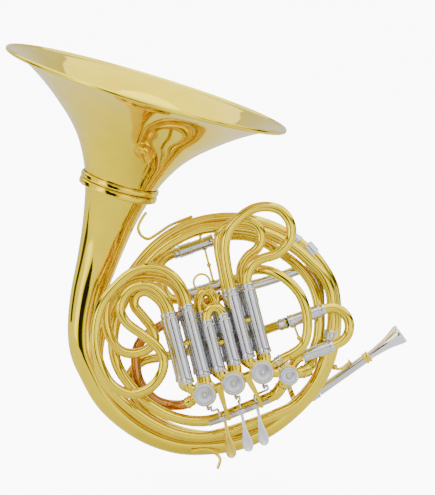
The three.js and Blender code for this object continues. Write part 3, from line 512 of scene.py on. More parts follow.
def mouth():
    tip = RECEIVER_TIP
    along, long = unit(tip - RECEIVER_FOOT), np.linalg.norm(tip - RECEIVER_FOOT)
    receiver = [
        (RECEIVER_BORE, -long), (RECEIVER_R, -long), (RECEIVER_R, 0), (4.8, 0), (4.2, -26),
        (RECEIVER_BORE, -28), (RECEIVER_BORE, -long),
    ]
    stand_in("mouthpiece_receiver", Shape().turned(receiver, tip, along, 48), NICKEL)
    beads = Shape()
    for at in (-6.6, -2.6):
        beads.turned([(5.0, at), (6.2, at + 0.1), (6.7, at + 0.8), (6.7, at + 1.6), (6.2, at + 2.3),
                      (5.0, at + 2.4), (5.0, at)], tip, along, 48)
    beads.turned([(4.9, -4.3), (5.7, -4.3), (5.7, -2.5), (4.9, -2.5), (4.9, -4.3)], tip, along, 48)
    beads.build("receiver_rings", "horn_body", BRASS)
    outside = smooth_outline([
        (4.4, 0), (4.55, 4), (5.3, 12), (6.8, 24), (9.2, 33), (10.6, 38.4), (10.9, 40.8),
        (10.5, 42.2), (9.8, 42.6), (9.1, 42.0), (8.5, 40), (6.4, 29), (3.6, 15), (BACKBORE_R, 4),
    ], step=0.8)
    end = (BACKBORE_R, -SHANK_DEPTH)
    profile = [end, (3.7, -SHANK_DEPTH), *outside, end]
    stand_in("mouthpiece", Shape().turned(profile, tip, along, 64), SILVER)


# ---- slides ----
VALVE_SLIDES = {
    "valve_3_f": dict(y=FRONT_Y, feet=[(-0.5, -55), (-18.5, -63)], length=72, bend=[
        (-22.7, 32), (-31, 46), (-45, 56.5), (-62, 59), (-78.5, 53), (-95.5, 38.5), (-109, 20.5),
        (-115.5, -1.5), (-115.5, -24.5), (-109, -47.5), (-97, -65.5), (-78.5, -73.5),
        (-58.5, -67.5), (-46.5, -52), (-44.5, -36), (-52.5, -22.5), (-68, -10.5), (-84, 2),
        (-90, 15.5), (-86, 28.5), (-74.5, 38.5), (-59.5, 40), (-47, 31.5), (-39.4, 18.9)]),
    "valve_3_bb": dict(y=REAR_Y, feet=[(-6.3, -53.6), (-24.8, -61.6)], length=68, bend=[
        (-28, 31.6), (-40, 44.5), (-57, 49), (-75, 48), (-91, 39.5), (-102, 26.5), (-106, 10.5),
        (-105, -5.5), (-99.5, -19), (-90, -29.5), (-77.5, -32.5), (-63.5, -29), (-54.5, -19),
        (-57, -6.5), (-67, 7), (-76, 19), (-74, 29), (-65.5, 33.5), (-54, 28), (-45, 17.6)]),
    "valve_2_f": dict(y=FRONT_Y, feet=[(31.5, -43), (15, -50)], length=50, bend=[
        (17.7, 10.4), (13.6, 16.2), (6.6, 16.8), (1.6, 10.6), (1.3, 3.2)], ring=(4.2, 26.6)),
    "valve_2_bb": dict(y=REAR_Y, feet=[(25.7, -40.1), (9.2, -47.1)], length=56, bend=[
        (8.9, 23.6), (4.2, 32), (-2.6, 32.4), (-7.5, 25.6), (-6.2, 13.1)], ring=(-4.4, 43.2)),
    "valve_1_f": dict(y=FRONT_Y, feet=[(62.5, -31), (45.5, -36.5)], length=70, bend=[
        (43.1, 46), (45, 55), (50.5, 63.5), (60, 68.5), (75, 73.5), (86.5, 84.5), (90, 97.5),
        (87.5, 108.5), (78.5, 119), (64.5, 123), (49.5, 120.5), (34.5, 110.5), (23.5, 97),
        (20, 80.5), (22, 60), (26, 41)]),
    "valve_1_bb": dict(y=REAR_Y, feet=[(56.8, -28.6), (39.8, -35)], length=68, bend=[
        (38, 45), (37.5, 58), (44, 70), (54.5, 79), (59, 91.5), (54.5, 102.5), (42.5, 108),
        (27.5, 106), (15.5, 95), (13.5, 79.5), (16.5, 62), (20.4, 41)]),
}
SLIDE_RING_R, SLIDE_RING_WIRE = 8.6, 1.25
MAIN_FEET, MAIN_SLEEVES, MAIN_DEPTHS, MAIN_SPACING = [(87.6, 0.6), (103, -36)], (36, 29), (26, 24), 39.6
F_FEET, F_SLEEVE, F_DEPTH = [(8.5, 88.5), (20.6, 41.6)], 40.8, 34
BRACE_R, BRACE_BALL_R, BRACE_SEAT_R = 1.3, 2.5, 2.6
COLLAR_RISE = 0.75  # of a crook's stop collar over its tube
VALVE_BRACE_AT, MAIN_BRACE_AT, F_BRACE_AT = 0.55, 0.12, 0.3  # shares of a sleeve's length


def flat(y, points):
    return [np.array([x, y, z], float) for x, z in points]


def sleeve_pair(name, pairs, share):
    """Two drawn sleeves with a beaded mouth and foot, and the ball brace between them."""
    shape, trim, brace = Shape(), Shape(), Shape()
    wide, bead = SLEEVE_R + 0.45, SLEEVE_R + 0.8
    for foot, top in pairs:
        shape.tube(spline([foot, top]), SLEEVE_R, 36, bore=SLEEVE_BORE)
        along, long = unit(top - foot), np.linalg.norm(top - foot)
        low = long - min(15, long * 0.4)
        trim.turned([
            (SLEEVE_R, low), (bead, low + 0.3), (bead, low + 1.3), (wide, low + 1.7), (wide, long - 1.9),
            (bead, long - 1.5), (bead, long - 0.5), (wide, long), (SLEEVE_R, long), (SLEEVE_R, low),
        ], foot, along, 40)
        trim.turned([
            (SLEEVE_R, 0.2), (wide, 0.2), (bead, 0.7), (bead, 1.7), (wide, 2.1), (wide, 4.6),
            (SLEEVE_R, 6.4), (SLEEVE_R, 0.2),
        ], foot, along, 40)
    a, b = (foot + (top - foot) * share for foot, top in pairs)
    middle, across = (a + b) / 2, unit(b - a)
    seat = SLEEVE_R - 0.1
    brace.disc_to(a + across * seat, b - across * seat, BRACE_R)
    brace.ball(middle, BRACE_BALL_R)
    foot_ring = [(BRACE_SEAT_R, seat), (BRACE_SEAT_R, SLEEVE_R + 0.5), (BRACE_R + 0.2, SLEEVE_R + 1.3)]
    for end, way in ((a, across), (b, -across)):
        brace.turned(foot_ring, end, way, 24)
    stand_in(name, shape, NICKEL)
    trim.build(name + "_trim", "horn_body", NICKEL)
    brace.build(name + "_brace", "horn_body", BRASS)


def crook(name, tops, bend, along, depths):
    """A slide's bent tube, with straight legs in both sleeves and a stop collar on each."""
    first, last = (top + along * 2.5 for top in tops)
    path = spline([tops[0], first, *bend, last, tops[1]], depths[0], depths[1])
    shape = Shape().tube(path, LEG_R, 32)
    trim = Shape()
    inner, r = LEG_R - 0.2, LEG_R + COLLAR_RISE
    collar = [(inner, 0.4), (r - 0.3, 0.4), (r, 0.9), (r, 5.2), (r - 0.3, 5.7), (inner, 5.7), (inner, 0.4)]
    for top in tops:
        trim.turned(collar, top, along, 32)
    trim.build(name + "_collars", BODY_OF[name], NICKEL)
    return shape


def pull_ring(shape, centre, toward):
    """A wire ring on a crook, with the stalk that carries it."""
    turn = np.linspace(0, 2 * math.pi, 49)
    loop = [centre + np.array([math.cos(t), 0, math.sin(t)]) * SLIDE_RING_R for t in turn]
    rings = []
    for p, t in zip(loop[:-1], turn[:-1]):
        out = np.array([math.cos(t), 0, math.sin(t)])
        around = np.linspace(0, 2 * math.pi, 12, endpoint=False)
        rings.append([p + (out * math.cos(a) + np.array([0, 1, 0]) * math.sin(a)) * SLIDE_RING_WIRE
                      for a in around])
    shape.grid(rings, loop=True)
    shape.ball(centre + unit(toward - centre) * SLIDE_RING_R, 1.9)


def valve_slides():
    for name, slide in VALVE_SLIDES.items():
        feet = flat(slide["y"], slide["feet"])
        tops = [foot + SLIDE_UP * slide["length"] for foot in feet]
        sleeve_pair(name + "_sleeves", list(zip(feet, tops)), VALVE_BRACE_AT)
        depth = min(LEG_DEPTH, slide["length"] - 14)
        bend = flat(slide["y"], slide["bend"])
        shape = crook(name + "_crook", tops, bend, SLIDE_UP, (depth, depth))
        if "ring" in slide:
            pull_ring(shape, flat(slide["y"], [slide["ring"]])[0], bend[2])
        stand_in(name + "_crook", shape, BRASS)


def tuning_slides():
    feet = flat(MAIN_Y, MAIN_FEET)
    tops = [foot + MAIN_ALONG * long for foot, long in zip(feet, MAIN_SLEEVES)]
    sleeve_pair("main_slide_sleeves", list(zip(feet, tops)), MAIN_BRACE_AT)
    across = np.array([0.345, 0, -0.9386]) * MAIN_SPACING
    start = tops[0] + MAIN_ALONG * 5
    radius = np.linalg.norm(across) / 2
    bend = [
        start + across * (1 - math.cos(t)) / 2 + MAIN_ALONG * radius * math.sin(t)
        for t in np.linspace(0, math.pi, 7)
    ]
    shape = crook("main_slide_crook", tops, bend, MAIN_ALONG, MAIN_DEPTHS)
    stand_in("main_slide_crook", shape, BRASS)
    feet = flat(F_Y, F_FEET)
    tops = [foot + F_ALONG * F_SLEEVE for foot in feet]
    sleeve_pair("f_slide_sleeves", list(zip(feet, tops)), F_BRACE_AT)
    bend = flat(F_Y, [(-39.5, 71.7), (-48.5, 64.5), (-51.4, 51), (-47.5, 36), (-39, 25), (-29, 23.6)])
    shape = crook("f_slide_crook", tops, bend, F_ALONG, (F_DEPTH, F_DEPTH))
    stand_in("f_slide_crook", shape, BRASS)


# ---- valves ----
VALVES = {
    "valve_3": (0.0, 0.0, CASING_R), "valve_2": (VALVE_PITCH, 0.0, CASING_R),
    "valve_1": (2 * VALVE_PITCH, 0.0, CASING_R), "thumb_valve": (89.1, -13.1, THUMB_CASING_R),
}
PORTS = {
    "valve_3": [(RETURN_LOWER[::-1], LOOP_R)], "valve_2": [], "valve_1": [(INLET, INLET_R)],
    "thumb_valve": [(EXTENSION, LOOP_R), (RETURN_UPPER, LOOP_R), (SECOND_BRANCH, BRANCH_R)],
}
ROW_Y = np.array([0.0, 1, 0])
PORT_LEAD, STEM_END, CAP_STEP, ROTOR_CLEARANCE = 5, 10, 0.7, 0.5


def elbow(shape, end, along, straight, radius, x, z, casing):
    """A short tube from just past a tube's end, on along it and round into the casing's wall."""
    start, turn = end + along * GAP, end + along * straight
    middle = row(x, turn[1], z)
    path = spline([start, turn, middle], step=1)
    reach = np.linalg.norm((path - middle)[:, [0, 2]], axis=1)
    keep = path[reach > casing - CASING_WALL * 0.7]
    shape.tube(keep, radius, 28)


def ports(index, name):
    """The short tubes between a valve's casing and its slides, its neighbours and the coil."""
    x, z, radius = VALVES[name]
    stubs = Shape()
    for points, size in PORTS[name]:
        before, end = np.array(points[-2], float), np.array(points[-1], float)
        elbow(stubs, end, unit(end - before), 2, size, x, z, radius)
    for slide, facts in VALVE_SLIDES.items():
        if slide.startswith(name):
            for foot in flat(facts["y"], facts["feet"]):
                elbow(stubs, foot, -SLIDE_UP, PORT_LEAD, STUB_R, x, z, radius)
    if name == "thumb_valve":
        elbow(stubs, flat(MAIN_Y, MAIN_FEET[1:])[0], -MAIN_ALONG, PORT_LEAD, STUB_R, x, z, radius)
    else:
        far_x, far_z, far_r = list(VALVES.values())[index + 1]
        way = unit([far_x - x, 0, far_z - z])
        span = math.hypot(far_x - x, far_z - z)
        for y in LINK_LEVELS:
            start = row(*(np.array([x, y, z]) + way * (radius - 0.8)))
            end = row(*(np.array([x, y, z]) + way * (span - far_r - GAP)))
            stubs.disc_to(start, end, LINK_TUBE_R)
    stubs.build(name + "_ports", "horn_body", BRASS)


def casing(name, centre, radius, bore):
    stem_hole, shoulder = STEM_R + 0.5, CASING_BACK - 2
    wall = [
        (bore, CASING_FRONT), (radius, CASING_FRONT), (radius, CASING_BACK), (stem_hole, CASING_BACK),
        (stem_hole, shoulder), (bore, shoulder), (bore, CASING_FRONT),
    ]
    stand_in(name + "_casing", Shape().turned(wall, centre, ROW_Y, 72), BRASS, bevel=0.25)
    collars, seat, edge = Shape(), radius - 0.1, radius + 0.35
    for at in (CASING_FRONT + 0.2, CASING_BACK - 3.2):
        collars.turned([
            (seat, at), (edge, at + 0.3), (radius + 0.45, at + 1.5), (edge, at + 2.7), (seat, at + 3),
            (seat, at),
        ], centre, ROW_Y, 72)
    collars.build(name + "_collars", "horn_body", BRASS)


def cap(name, centre, radius):
    """A screw cap with a nub, a groove and a knurled edge."""
    back = CASING_FRONT - GAP
    profile = [
        (0.01, -46.4), (1.4, -46.4), (2.1, -46.0), (2.5, -45.0), (3.0, -44.2), (3.1, -43.3),
        (3.9, -43.3), (4.2, -44.3), (radius - 3.6, -44.5), (radius - 3.4, -43.3),
        (radius - 2.7, -43.3), (radius - 2.5, -44.5), (radius - 1.3, -44.6), (radius - 0.5, -44.3),
        (radius, -43.6), (radius, back), (0.01, back),
    ]
    shape = Shape().turned(profile, centre, ROW_Y, 240, flutes=60, depth=0.3, flute_from=radius - 0.1)
    stand_in(name + "_cap", shape, NICKEL)


def rotor(name, centre, core):
    front, back = CASING_FRONT + 1, CASING_BACK - 2.4
    profile = [
        (0.01, front), (core, front), (core, back), (STEM_R, back), (STEM_R, STEM_END - 0.4),
        (STEM_R - 0.4, STEM_END), (0.01, STEM_END),
    ]
    stand_in(name + "_rotor", Shape().turned(profile, centre, ROW_Y, 40), BRASS)
    screw = [(0.01, 9.7), (2.9, 9.7), (3.3, 10.1), (3.3, 11.0), (2.7, 11.5), (0.01, 11.6)]
    head = Shape().turned(screw, centre, ROW_Y, 32)
    head.build(name + "_stem_screw", BODY_OF[name + "_rotor"], STEEL)


def rotary_valves():
    for index, (name, (x, z, radius)) in enumerate(VALVES.items()):
        centre, bore = row(x, 0, z), radius - CASING_WALL
        ports(index, name)
        casing(name, centre, radius, bore)
        cap(name, centre, radius - CAP_STEP)
        rotor(name, centre, bore - ROTOR_CLEARANCE)


# ---- linkage ----
ARM_FRONT, ARM_BACK, PIN_END, LINK_Y = 6, 8.6, 12.3, 14.5
LINK_SIDE, LINK_LENGTH, THUMB_LINK, THUMB_PIN = -4.2, 16, 12, 4.6
AXLE_Z, AXLE_Y, AXLE_R, HUB_R, HUB_BORE, EYE_BORE = -32, -24, 1.7, 3.3, 2.15, 1.75
ROD_R, ARM_R, PIN_R = 1.25, 1.3, 1.35
PADDLE_LENGTH, PADDLE_THICK, SHANK_LENGTH, SHANK_HALF, TIP_HALF, TIP_LENGTH = 42, 1.9, 14, 1.75, 5.55, 7
PADDLE_TILT, PADDLE_LEAN = math.radians(-16), math.radians(9.6)
LEVERS = [  # number, hub from and to, paddle, arm, finish
    (3, (5, 12.5), 9.7, 6.5, SATIN_BRASS), (2, (24, 33), 28.8, 30, SATIN_SILVER),
    (1, (41.5, 49), 46.4, 47.5, SATIN_SILVER),
]
AXLE_ENDS = (-7.4, 61.4)
BARRELS = [(-7.4, 4.5), (17, 23.5), (33.5, 41), (53.4, 61.4)]
BARREL_R, SPRING_R, SPRING_WIRE, SPRING_PITCH, SPRING_INSET = 2.1, 2.45, 0.45, 1.15, 0.7
STRAPS, STRAP_FRONT = [(16.5, (13, 16.5)), (48.7, (49.5, 52.9))], -38  # top, foot from and to


def stop_arm(name, x, z, pin):
    """The arm on a rotor's stem, with its stop lug and the pin that the link drives."""
    centre = row(x, 0, z)
    shape = Shape()
    bore = STEM_R + 0.3
    boss = [(bore, ARM_FRONT), (4.6, ARM_FRONT), (4.6, ARM_BACK), (bore, ARM_BACK), (bore, ARM_FRONT)]
    shape.turned(boss, centre, ROW_Y, 40)
    out = unit(-ROW_X - ROW_Z)
    side = np.cross(ROW_Y, out)
    reach = pin * math.sqrt(2)
    front, thick = centre + ROW_Y * ARM_FRONT, ARM_BACK - ARM_FRONT
    tip = reach + 2.0
    arm = [(4.2, -1.9), (reach, -2.2), (tip, -1.0), (tip, 1.0), (reach, 2.2), (4.2, 1.9)]
    shape.plate(arm, out, side, ROW_Y, front, thick)
    lug = [(4.2, -1.7), (7.4, -1.4), (7.4, 1.4), (4.2, 1.7)]
    shape.plate(lug, -out, side, ROW_Y, front, thick)
    seat = ARM_FRONT + 0.4
    peg = [(0.01, seat), (1.4, seat), (1.4, PIN_END - 0.3), (1.1, PIN_END), (0.01, PIN_END)]
    shape.turned(peg, centre + out * reach, ROW_Y, 24)
    stand_in(name + "_stop_arm", shape, STEEL, bevel=0.2)


def link_rod(node, x, top, length):
    """A rod with an eye round the lever's pin and a flat head behind the stop arm's pin."""
    shape = Shape()
    low, high = row(x, LINK_Y, top - length), row(x, LINK_Y, top)
    eye = [
        (EYE_BORE, -1.5), (2.5, -1.5), (2.9, -1.1), (2.9, 1.1), (2.5, 1.5), (EYE_BORE, 1.5), (EYE_BORE, -1.5),
    ]
    head = [(0.01, -1.1), (2.3, -1.1), (2.7, -0.7), (2.7, 0.7), (2.3, 1.1), (0.01, 1.1)]
    lock_nut = [(0.01, -1.2), (1.9, -1.2), (1.9, 1.2), (0.01, 1.2)]
    shape.turned(eye, low, ROW_X, 32)
    shape.disc_to(low + ROW_Z * 2.3, high - ROW_Z * 1.5, ROD_R)
    shape.turned(head, high, ROW_Y, 32)
    for share in (0.3, 0.62):
        shape.turned(lock_nut, low + (high - low) * share, ROW_Z, 6)
    stand_in(node, shape, STEEL)


def paddle_half(a):
    """Half a paddle's width at a distance from the axle."""
    if a < SHANK_LENGTH:
        return SHANK_HALF
    widest = PADDLE_LENGTH - TIP_LENGTH
    if a < widest:
        t = (a - SHANK_LENGTH) / (widest - SHANK_LENGTH)
        return SHANK_HALF + (TIP_HALF - SHANK_HALF) * (3 * t * t - 2 * t ** 3)
    t = (a - widest) / TIP_LENGTH
    return max(TIP_HALF * math.sqrt(max(0, 1 - t * t)), 0.4)


def paddle(shape, x):
    """A finger plate: a slim shank that widens to a round, slightly dished end."""
    cos_tilt, sin_tilt = math.cos(PADDLE_TILT), math.sin(PADDLE_TILT)
    cos_lean, sin_lean = math.cos(PADDLE_LEAN), math.sin(PADDLE_LEAN)

    def place(a, b, c):
        y, z = -c, -a
        y, z = y * cos_tilt - z * sin_tilt, y * sin_tilt + z * cos_tilt
        px, z = b * cos_lean + z * sin_lean, -b * sin_lean + z * cos_lean
        return row(x + px, AXLE_Y + y, AXLE_Z - 1.6 + z)

    rings, across = [], np.linspace(-1, 1, 9)
    for a in np.linspace(1, PADDLE_LENGTH, 34):
        half = paddle_half(a)
        arch = 0.5 * min(1, half / 5.5)
        front = [
            place(a, b * half, PADDLE_THICK * (1 - 0.25 * b ** 4) - arch * (1 - b * b)) for b in across
        ]
        back = [place(a, b * half, 0.25 * PADDLE_THICK * b ** 4) for b in across[::-1]]
        rings.append(front + back)
    shape.grid(rings)


def rear_arm(shape, points, pin_x, pin_z):
    """The curved arm from a lever's hub to its link pin, with the pin."""
    route = [row(*p) for p in points] + [row(pin_x + 3.6, LINK_Y, pin_z)]
    shape.tube(spline(route, step=1), ARM_R, 20)
    shape.disc_to(row(pin_x - 1.9, LINK_Y, pin_z), row(pin_x + 4.6, LINK_Y, pin_z), PIN_R)


def hub(shape, x0, x1, y, z):
    long, edge = x1 - x0, HUB_R - 0.4
    ring = [
        (HUB_BORE, 0), (edge, 0), (HUB_R, 0.5), (HUB_R, long - 0.5), (edge, long), (HUB_BORE, long),
        (HUB_BORE, 0),
    ]
    shape.turned(ring, row(x0, y, z), ROW_X, 40)


def finger_levers():
    for number, (x0, x1), paddle_x, arm_x, finish in LEVERS:
        name = f"valve_{number}"
        x, z, _ = VALVES[name]
        pin_x, pin_z = x + LINK_SIDE, LINK_SIDE - LINK_LENGTH
        shape, working = Shape(), Shape()
        hub(working, x0, x1, AXLE_Y, AXLE_Z)
        paddle(shape, paddle_x)
        rear_arm(working, [
            (arm_x, AXLE_Y, AXLE_Z + 2.8), (arm_x, AXLE_Y + 3.5, AXLE_Z + 10),
            ((arm_x + pin_x) / 2 + 2, -10, AXLE_Z + 9.6), (pin_x + 3.2, 5, AXLE_Z + 8.9),
        ], pin_x, pin_z)
        stand_in(f"lever_{number}", shape, finish)
        working.build(f"lever_{number}_arm", f"lever_{number}", NICKEL)
        link_rod(f"link_rod_{number}", pin_x, LINK_SIDE, LINK_LENGTH)
        stop_arm(name, x, z, -LINK_SIDE)


def lever_spring(shape, x0, x1):
    """The wire coil round a spring barrel."""
    long = x1 - x0 - 2 * SPRING_INSET
    turns = max(3, int(long / SPRING_PITCH))
    at = np.linspace(0, turns * 2 * math.pi, turns * 20)
    wire = []
    for t in at:
        y, z = AXLE_Y + SPRING_R * math.cos(t), AXLE_Z + SPRING_R * math.sin(t)
        wire.append(row(x0 + SPRING_INSET + long * t / at[-1], y, z))
    shape.tube(np.array(wire), SPRING_WIRE, 8)


def strap(shape, top, f0, f1):
    """A plate that hangs from the casings, its foot round the axle, and its two screws."""
    low = (f0 + f1) / 2
    outline = [
        (top - 3.4, 3.5), (top - 3.4, -4), (low - 2.2, -22), (low - 1.75, AXLE_Z - 3),
        (low + 1.75, AXLE_Z - 3), (low + 2.2, -22), (top + 3.4, -4), (top + 3.4, 3.5),
    ]
    shape.plate(outline, ROW_X, ROW_Z, ROW_Y, row(0, STRAP_FRONT, 0), 2)
    front = STRAP_FRONT + 0.4
    foot = [
        (front, AXLE_Z - 2.9), (AXLE_Y + 1, AXLE_Z - 2.9), (AXLE_Y + 2.9, AXLE_Z - 1),
        (AXLE_Y + 2.9, AXLE_Z + 1), (AXLE_Y + 1, AXLE_Z + 3), (front, AXLE_Z + 3),
    ]
    shape.plate(foot, ROW_Y, ROW_Z, ROW_X, row(f0, 0, 0), f1 - f0)
    screw = [(2.1, -0.4), (2.1, 0.2), (1.9, 0.6), (0.01, 0.6)]
    for x, z in ((top, 0.5), (low + (top - low) * 0.35, -20)):
        shape.turned(screw, row(x, STRAP_FRONT, z), -ROW_Y, 24)


def lever_frame():
    shape, springs, straps = Shape(), Shape(), Shape()
    shape.disc_to(*(row(x, AXLE_Y, AXLE_Z) for x in AXLE_ENDS), AXLE_R)
    knob = [(1.6, -0.6), (3.4, -0.6), (3.6, 0), (3.4, 0.6), (1.2, 1.2), (0.01, 1.3)]
    for end, way in zip(AXLE_ENDS, (-1, 1)):
        shape.turned(knob, row(end - way * 0.7, AXLE_Y, AXLE_Z), ROW_X * way, 32)
    for x0, x1 in BARRELS:
        barrel = [(1.6, 0), (BARREL_R, 0), (BARREL_R, x1 - x0), (1.6, x1 - x0), (1.6, 0)]
        shape.turned(barrel, row(x0, AXLE_Y, AXLE_Z), ROW_X, 32)
        lever_spring(springs, x0, x1)
    for top, (f0, f1) in STRAPS:
        strap(straps, top, f0, f1)
    stand_in("lever_frame", shape, NICKEL, bevel=0.15)
    springs.build("lever_springs", "horn_body", STEEL)
    straps.build("lever_straps", "horn_body", BRASS, bevel=0.35)


THUMB_AXLE_Y, THUMB_AXLE_DROP, THUMB_X, THUMB_END_R = 36.5, 12, 86.0, 9
THUMB_HUB, THUMB_AXLE, EARS, EAR_THICK = (80, 92), (77, 95), (76.7, 92.3), 3
STEM_FOOT_Z = -50.8  # where the bracket's stem stands on the coil


def thumb_half(a):
    """Half the thumb plate's width at a distance from its axle."""
    if a < 8:
        return 2.4
    if a < 20:
        return 2.4 + 6.6 * math.sin((a - 8) / 12 * math.pi / 2)
    return max(THUMB_END_R * math.sqrt(max(0, 1 - ((a - 20) / THUMB_END_R) ** 2)), 0.4)


def thumb_lever():
    x, z, _ = VALVES["thumb_valve"]
    y, axle_z = THUMB_AXLE_Y, z - THUMB_AXLE_DROP
    pin_x, top = x - THUMB_PIN, z - THUMB_PIN
    shape = Shape()
    hub(shape, *THUMB_HUB, y, axle_z)
    rings, across = [], np.linspace(-1, 1, 9)
    for a in np.linspace(2, 29, 24):
        half = thumb_half(a)
        dish = 0.5 * min(1, half / THUMB_END_R)
        upper = [row(THUMB_X + b * half, y + a, axle_z + 1 - dish * (1 - b * b)) for b in across]
        under = [row(THUMB_X + b * half, y + a, axle_z - 1 + 0.4 * b ** 4) for b in across[::-1]]
        rings.append(upper + under)
    shape.grid(rings)
    route = [(THUMB_X + 1, y - 2.8, axle_z - 0.6), (pin_x + 3.6, y - 11, axle_z - 3)]
    rear_arm(shape, route, pin_x, top - THUMB_LINK)
    stand_in("thumb_lever", shape, SILVER)
    link_rod("thumb_link_rod", pin_x, top, THUMB_LINK)
    stop_arm("thumb_valve", x, z, THUMB_PIN)


def thumb_bracket():
    y, axle_z = THUMB_AXLE_Y, VALVES["thumb_valve"][1] - THUMB_AXLE_DROP
    start, end = THUMB_AXLE
    bracket = Shape().disc_to(row(start, y, axle_z), row(end, y, axle_z), AXLE_R)
    ear = [(-2.5, -6.5), (2.5, -6.5), (2.5, 0.6), (1.6, 2.2), (0, 2.8), (-1.6, 2.2), (-2.5, 0.6)]
    for x in EARS:
        bracket.plate(ear, ROW_Y, ROW_Z, ROW_X, row(x, y, axle_z), EAR_THICK)
    bridge = [(-2.4, -6.4), (2.4, -6.4), (2.4, -4.2), (-2.4, -4.2)]
    bracket.plate(bridge, ROW_Y, ROW_Z, ROW_X, row(start, y, axle_z), end - start)
    stem, height = [(-3, 0), (3, 0), (3, 1), (-3, 1)], axle_z - 4.4 - STEM_FOOT_Z
    bracket.plate(stem, ROW_X, ROW_Y, ROW_Z, row(THUMB_X, y - 1, STEM_FOOT_Z), height)
    stand_in("thumb_lever_bracket", bracket, BRASS, bevel=0.3)


# ---- hooks and braces ----
def rod(node, points, radius, feet=True):
    """A round-ended rod along a curve, with a soldered foot at each end of a brace."""
    path = spline([np.array(p, float) for p in points], step=1)
    shape = Shape().tube(path, radius, 20)
    ends = ((path[0], path[1]), (path[-1], path[-2]))
    for end, inward in ends:
        shape.ball(end + unit(inward - end) * radius * 0.6, radius * 1.02, 16)
    foot = [(radius + 1.7, 0), (radius + 1.7, 0.7), (radius + 0.4, 1.6)]
    for end, inward in ends if feet else ():
        shape.turned(foot, end, unit(inward - end), 24)
    stand_in(node, shape, BRASS)


def hooks():
    rod("finger_hook", [
        (-15.5, 2, -138.8), (-0.4, 1.4, -137), (9, 0.5, -140), (15, -2, -146.3), (12.5, -6, -156),
    ], 1.8, feet=False)
    rod("hand_hook", [
        (-15.2, 13, 113.6), (-39, 14, 103.9), (-54.1, 14.5, 93.8), (-63, 14.5, 89.2),
        (-70.3, 14.5, 93), (-73.6, 14.5, 101.1), (-69.2, 14.5, 111.9), (-64.9, 14.5, 117.8),
    ], 1.7, feet=False)
    rod("leadpipe_brace", [
        (139.3, 16, -49.6), (142.5, 19.5, -52), (148, 22.5, -51), (157, 24.5, -44.3)], 1.6)
    rod("coil_brace", [(-6.5, 6.2, 94.8), (-6.3, 16.6, 87)], 1.3)


flare()
screw_ring()
coil()
coil_ferrules()
mouth()
valve_slides()
tuning_slides()
rotary_valves()
finger_levers()
lever_frame()
thumb_lever()
thumb_bracket()
hooks()


# ---- studio: distances in metres, lamps in watts ----
FLOOR_DROP, FLOOR_FRONT, FLOOR_DEPTH, FLOOR_HALF = 0.02, -0.62, 1.6, 4
BACKDROP_RISE, BACKDROP_CURVE = 3.0, 0.8
PAPER_GLOW, WORLD_GLOW, TOP_LIGHT = 9.0, 10.0, 2.3
LAMPS = [  # name, place, target, size, power
    ("key", (-1.3, -1.6, 1.0), (0, 0, 0.05), (0.35, 1.8), 3.2),
    ("fill", (1.9, -1.1, 0.4), (0, 0, 0.05), (0.25, 1.8), 1.6),
    ("top", (0.0, -0.2, 1.9), (0, 0, 0), (1.6, 1.0), 6),
]
# Strips of light and shade that stand round the horn, as (share of a turn, level). A turn goes
# from the photographer's side round by the left.
LEVEL_STRIPS = [
    (0.0, 1.7), (0.035, 1.7), (0.045, 0.04), (0.085, 0.04), (0.095, 3.0), (0.155, 3.0), (0.17, 1.5),
    (0.235, 1.3), (0.25, 0.06), (0.29, 0.06), (0.31, 1.4), (0.62, 1.4), (0.64, 0.06), (0.71, 0.06),
    (0.73, 1.4), (0.80, 1.4), (0.812, 0.04), (0.855, 0.04), (0.868, 2.6), (0.925, 2.4), (0.94, 1.5),
    (1.0, 1.7),
]
LOW_STRIPS = [
    (0.0, 0.5), (0.012, 0.02), (0.085, 0.02), (0.10, 1.4), (0.14, 2.9), (0.27, 2.6), (0.30, 0.3),
    (0.38, 0.2), (0.42, 1.3), (0.62, 1.3), (0.64, 0.1), (0.70, 0.1), (0.72, 1.9), (0.79, 1.9),
    (0.80, 0.05), (0.83, 0.05), (0.84, 1.9), (0.93, 2.2), (0.97, 1.6), (1.0, 0.5),
]
LOW_TO_LEVEL = (-0.15, -0.06)  # heights of the view direction between which one blends into the other
# From straight down to straight up: how much of the strips shows, and where the top light is.
UPWARD_SHARES = [
    (0.0, 0.45), (0.24, 0.7), (0.30, 0.8), (0.36, 1.0), (0.59, 1.0), (0.62, 0.3), (0.64, 0.08),
    (0.69, 0.08), (0.72, 1.0), (1.0, 1.0),
]
TOP_SHARES = [(0.0, 0.0), (0.72, 0.0), (0.75, 1.0), (1.0, 1.0)]


def glow(tree, seen, lit, socket):
    """White paper for the camera's own rays, and a softer light for everything else."""
    path = tree.nodes.new("ShaderNodeLightPath")
    level = tree.nodes.new("ShaderNodeMapRange")
    if isinstance(lit, float):
        level.inputs["To Min"].default_value = lit
    else:
        tree.links.new(lit, level.inputs["To Min"])
    level.inputs["To Max"].default_value = seen
    tree.links.new(path.outputs["Is Camera Ray"], level.inputs["Value"])
    tree.links.new(level.outputs["Result"], socket)


